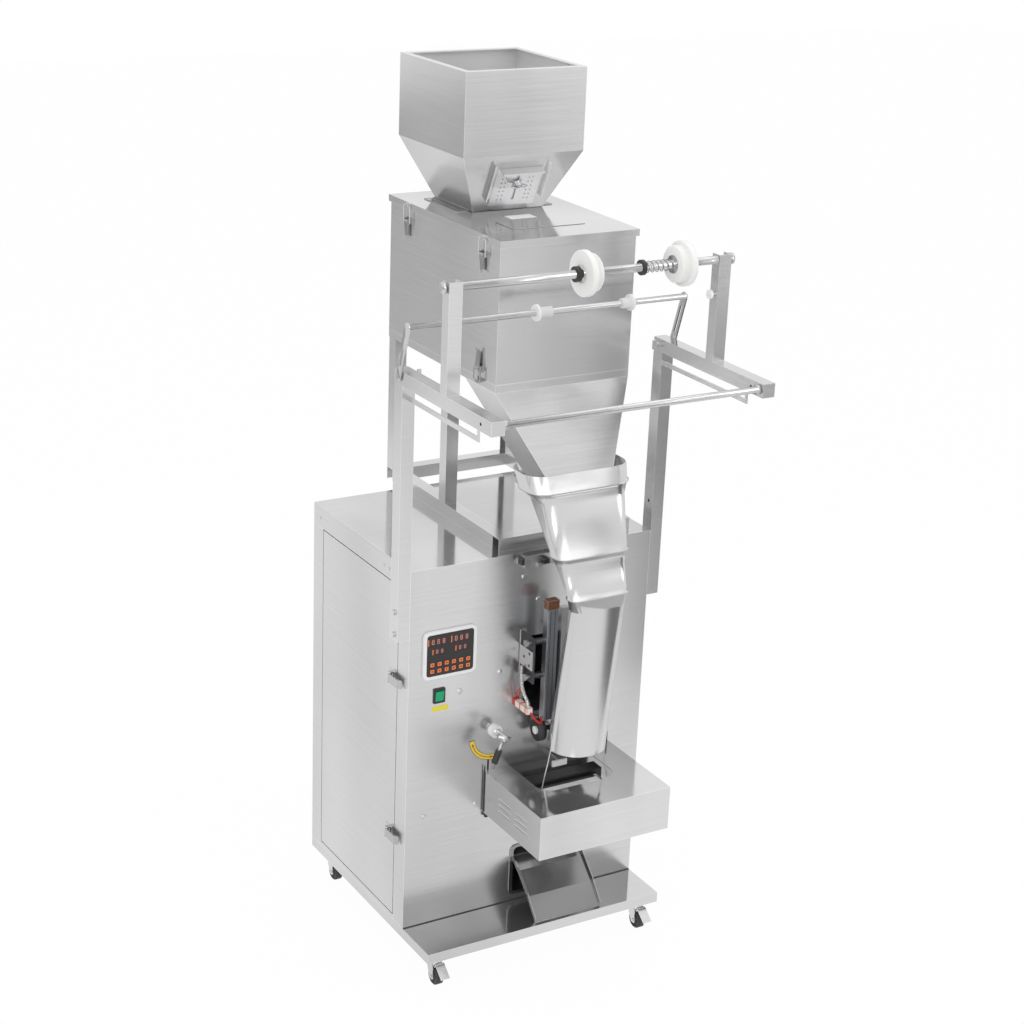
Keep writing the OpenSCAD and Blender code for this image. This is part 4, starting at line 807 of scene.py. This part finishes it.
def add_displays():
    """Four windows, each with a printed bar at its left and its digits."""
    bm = bmesh.new()
    for i, (dx, dz, w, h, count) in enumerate(DISPLAYS):
        x = BEZEL_X + dx
        z = BEZEL_Z + dz
        front_plate(f"display {i}", rounded_outline(w, h, 0.8), spot(x, -WINDOW_OUT, z), 0.1,
                    "display")
        front_plate(f"display bar {i}", rounded_outline(DISPLAY_BAR_W, h - 2, 0.6),
                    spot(x - w / 2 - DISPLAY_BAR_W, -FACE_OUT, z), 0.15, "orange")
        add_digits(bm, x, z, w, h, count)
    place("display digits", finish_mesh(bm, "display digits"), "digits", ROOT)


def add_keys():
    """Printed keys with a plain dark mark each."""
    for col in range(KEY_COLS):
        for row in range(KEY_ROWS):
            x = BEZEL_X + (col - (KEY_COLS - 1) / 2) * KEY_PITCH[0]
            z = BEZEL_Z + KEY_TOP_Z - row * KEY_PITCH[1]
            front_plate(f"key {row} {col}", rounded_outline(*KEY_SIZE, 1), spot(x, -KEY_OUT, z),
                        KEY_T, "orange")
            front_plate(f"key mark {row} {col}", box_outline(*KEY_MARK),
                        spot(x, -KEY_OUT - KEY_T, z), 0.05, "overlay")


# Signs of the front panel

# The yellow plate's centre and size
SIGN_X = -202.6
SIGN_Z = BASE + 481.5
SIGN_SIZE = (37, 11)
# The lever's scale: its centre, its two ends in degrees, and its line's radius
SCALE_X = -80
SCALE_Z = BASE + 396
SCALE_ENDS = (185, 281)
SCALE_LINE_R = 47.5
SCALE_STEPS = 24
# Bands of the scale: name, material, inner and outer radius, how much shorter each end is
# in radians, and how far the band stands before the panel
SCALE_BANDS = [
    ("scale edge", "overlay", 41.5, 53.5, -0.03, 0.0),
    ("scale", "yellow", 42.4, 52.6, 0.0, 0.1),
    ("scale line", "red", 46.6, 48.4, 0.25, 0.25),
]
ARROW_INSET = 0.2
ARROW_OUT = 0.3


def arc_outline(inner, outer, first, last):
    """Outline of a band between two radii and two angles."""
    angles = [first + (last - first) * i / SCALE_STEPS for i in range(SCALE_STEPS + 1)]
    points = [(outer * math.cos(t), outer * math.sin(t)) for t in angles]
    return points + [(inner * math.cos(t), inner * math.sin(t)) for t in reversed(angles)]


def add_panel_signs():
    """Bare yellow plate below the switch, and the curved scale of the lever."""
    front_plate("yellow plate", rounded_outline(*SIGN_SIZE, 3), spot(SIGN_X, 0, SIGN_Z), 0.3,
                "yellow")
    first, last = (math.radians(end) for end in SCALE_ENDS)
    for name, material, inner, outer, inset, out in SCALE_BANDS:
        front_plate(name, arc_outline(inner, outer, first + inset, last - inset),
                    spot(SCALE_X, -out, SCALE_Z), 0.2, material)
    for i, (t, turn) in enumerate(((first + ARROW_INSET, -1), (last - ARROW_INSET, 1))):
        side = Vector((math.cos(t), math.sin(t)))
        tip = side * SCALE_LINE_R
        ahead = Vector((-math.sin(t), math.cos(t))) * turn
        points = [tip + ahead * 4, tip - ahead * 3 + side * 3, tip - ahead * 3 - side * 3]
        if turn > 0:
            points.reverse()
        front_plate(f"scale arrow {i}", [tuple(p) for p in points],
                    spot(SCALE_X, -ARROW_OUT, SCALE_Z), 0.2, "red")


# Vertical sealer

# Strips on the heater bar's face: place across, width and material
BAR_STRIPS = [(9.5, 3.4, "steel_bright"), (15.2, 1.2, "seam"), (25.0, 1.2, "seam")]
BAR_FACE_Y = -48.5
BAR_MID_Z = 637
BAR_STRIP_H = 236
CLAMP_HOLES = [(-40, 641), (-40, 667), (-20, 654)]
CLAMP_X = -26
# The terminal block's reach across and up, and where its bands start
TERMINAL_X = (-34, -21)
TERMINAL_Z = (540, 554)
BAND_STARTS = (-49, -28)
BAND_W = 5
BRAID = [(-30, -20, 634), (-30, -20, 622), (-30, -21, 606), (-30, -24, 590), (-29, -34, 574),
         (-27, -44, 562), (-27, -46, 553)]
LOOP_STARTS = (-32, -25)


def add_sealer_details():
    """Cap, strips, carrier, clamp plate and leads of the vertical sealer, and its roller's hub."""
    casing("bar cap", (6.5, 33.5), (-49.5, -32.5), (757, 777), "brown", "heater_bar",
           1.2)
    for x, w, material in BAR_STRIPS:
        front_plate(f"bar strip {x}", box_outline(w, BAR_STRIP_H), spot(x, BAR_FACE_Y, BAR_MID_Z),
                    0.2, material, "heater_bar")
    casing("carrier", (-24, -21), (-54, -2), (606, 703.5), "black", ROOT, 0.5)
    for i, (y, z) in enumerate(CLAMP_HOLES):
        lathe(f"clamp hole {i}", disc_profile(0, 3.2, 0.15), spot(CLAMP_X, y, z), TO_LEFT, "seam",
              ROOT, 20)
    casing("terminal", TERMINAL_X, (-54, -6), TERMINAL_Z, "white", ROOT, 1.0)
    for i, y in enumerate(BAND_STARTS):
        casing(f"terminal band {i}", TERMINAL_X, (y, y + BAND_W), TERMINAL_Z, "orange", ROOT,
               0.8, 0.5)
    tube("braid", BRAID, 3.7, "braid")
    for i, x in enumerate(LOOP_STARTS):
        tube(f"loop wire {i}", [(x, -5, 553), (x - 2, -9, 567), (x - 1, -17, 581), (-30, -23, 592)],
             1.1, "wire_red")
    lathe("wheel hub", disc_profile(0, 8.4, 3.3), spot(3, -31, 490), TO_LEFT, "white",
          "pull_rollers", 32)


def add_bracket_details():
    """Switch and stop on the former's bracket, and the white block behind the bag."""
    casing("switch", (4, 18), (-30, -18), (850, 860), "black", ROOT)
    casing("end stop", (-43, -36), (-24, -10), (852, 866), "black", ROOT)
    casing("bag block", (29, 63), (-60, -56), (413, 426), "white", ROOT)
    tube("spreader sleeve", [(119.0, -97, 482), (119.6, -97, 473), (121.6, -97, 462)], 2.3,
         "black")


def add_seam_details():
    """Shadow gap below the front panel, and the dark strip and knob of the guard's rear edge."""
    casing("panel seam", (PANEL_LO.x / MM, PANEL_HI.x / MM), (-0.5, 0), (BASE + 0.3, BASE + 1.9),
           "seam", ROOT, 0.1, 0.0)
    edge_x = GUARD_LO.x / MM
    low, top = GUARD_LO.z / MM, GUARD_HI.z / MM
    casing("guard strip", (edge_x - 1.6, edge_x), (-6, -3), (low + 2, top + 12), "black", "guard",
           0.3, 0.0)
    lathe("guard knob", [(0, 0), (0, 4.5), (9, 4.5), (10, 3.5), (10, 0)],
          spot(edge_x + 5, -6, low), DOWN, "black", "guard", 24)


# Pressure lever: its pivot across and up, the grip's depth, lean and distance down the arm
LEVER_X = -88
LEVER_Z = 504
GRIP_Y = -58
GRIP_LEAN = math.radians(21)
GRIP_FROM = 25.7


def add_lever_details():
    """White bush and black grip of the pressure lever."""
    lathe("lever bush", disc_profile(7.1, 13.3, 14.4), spot(LEVER_X, -15.8, LEVER_Z), TO_FRONT,
          "white", "pressure_lever", 48)
    down = Vector((-math.sin(GRIP_LEAN), 0, -math.cos(GRIP_LEAN)))
    lathe("lever grip", [(0, 3.3), (0, 6), (1, 6.8), (29.4, 6.8), (30.6, 6), (30.6, 3.3)],
          spot(LEVER_X, GRIP_Y, LEVER_Z) + down * GRIP_FROM * MM, down, "black",
          "pressure_lever", 32)


def add_jaw_strip():
    """White strip on the front jaw's plate."""
    casing("jaw strip", (-10, 118), (-109, -88), (378, 386), "white", "front_jaw",
           0.8)


def add_film_details():
    """White knob on the right upright."""
    lathe("upright knob", [(-0.3, 0), (-0.3, 7.2), (0.6, 8.4), (5.6, 8.4), (6.4, 7.4), (6.4, 0)],
          spot(265.1, -162.7, 1402), TO_LEFT, "white", ROOT, 32)


# Hopper gate: its plate's centre, its lean, and the directions up its face and out of it
GATE_MID = spot(83, 267.25, 1544.5)
GATE_TILT = math.atan2(56.5, 121)
GATE_UP = Vector((0, -math.sin(GATE_TILT), math.cos(GATE_TILT)))
GATE_OUT = Vector((0, -math.cos(GATE_TILT), -math.sin(GATE_TILT)))
# Punched dots: radius, first column's distance and the pitch of both, and lowest row
DOT_R = 1.3
DOT_FIRST = 26
DOT_PITCH = (9, 10)
DOT_LOW = -38
DOT_ROWS = 7
DOT_OUT = 2.4


def add_gate_dots():
    """Two columns of punched dots on each side of the gate's screw."""
    dot = [(DOT_R * math.cos(math.pi * k / 5), DOT_R * math.sin(math.pi * k / 5))
           for k in range(10)]
    for side in (-1, 1):
        for col in (0, 1):
            for row in range(DOT_ROWS):
                across = side * (DOT_FIRST + DOT_PITCH[0] * col) * Vector(TO_RIGHT)
                up = (row * DOT_PITCH[1] + DOT_LOW) * GATE_UP
                plate(f"gate dot {side} {col} {row}", dot,
                      GATE_MID + MM * (across + up + DOT_OUT * GATE_OUT), TO_RIGHT, GATE_UP, 0.1,
                      "seam", "hopper_gate")


def add_lid_details():
    """Seam round the lid's plate, and its bare label."""
    z = LID_TOP - 1.2
    plate("lid seam", rounded_outline(162.6, 73.6, 3), spot(80.5, 164, z), TO_RIGHT, TO_BACK,
          0.3, "seam", "lid")
    plate("lid label", rounded_outline(58, 30, 1), spot(74, 229, z), TO_RIGHT, TO_BACK,
          0.15, "paper", "lid")


def add_wheel_details():
    """Zinc discs in the casters' wheels."""
    for corner in ("front_left", "front_right", "rear_left", "rear_right"):
        lo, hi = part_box("wheel_" + corner)
        centre = (lo + hi) / 2
        for side in (-1, 1):
            lathe(f"wheel disc {corner} {side}", disc_profile(4, 7.6, 0.4),
                  (centre.x + side * 8.5 * MM, centre.y, centre.z), (side, 0, 0), "zinc",
                  "wheel_" + corner, 32)


add_camera()
dress_nodes()
add_studio()
add_displays()
add_keys()
add_panel_signs()
add_sealer_details()
add_bracket_details()
add_seam_details()
add_lever_details()
add_jaw_strip()
add_film_details()
add_gate_dots()
add_lid_details()
add_wheel_details()

bpy.context.scene.view_settings.view_transform = "Standard"
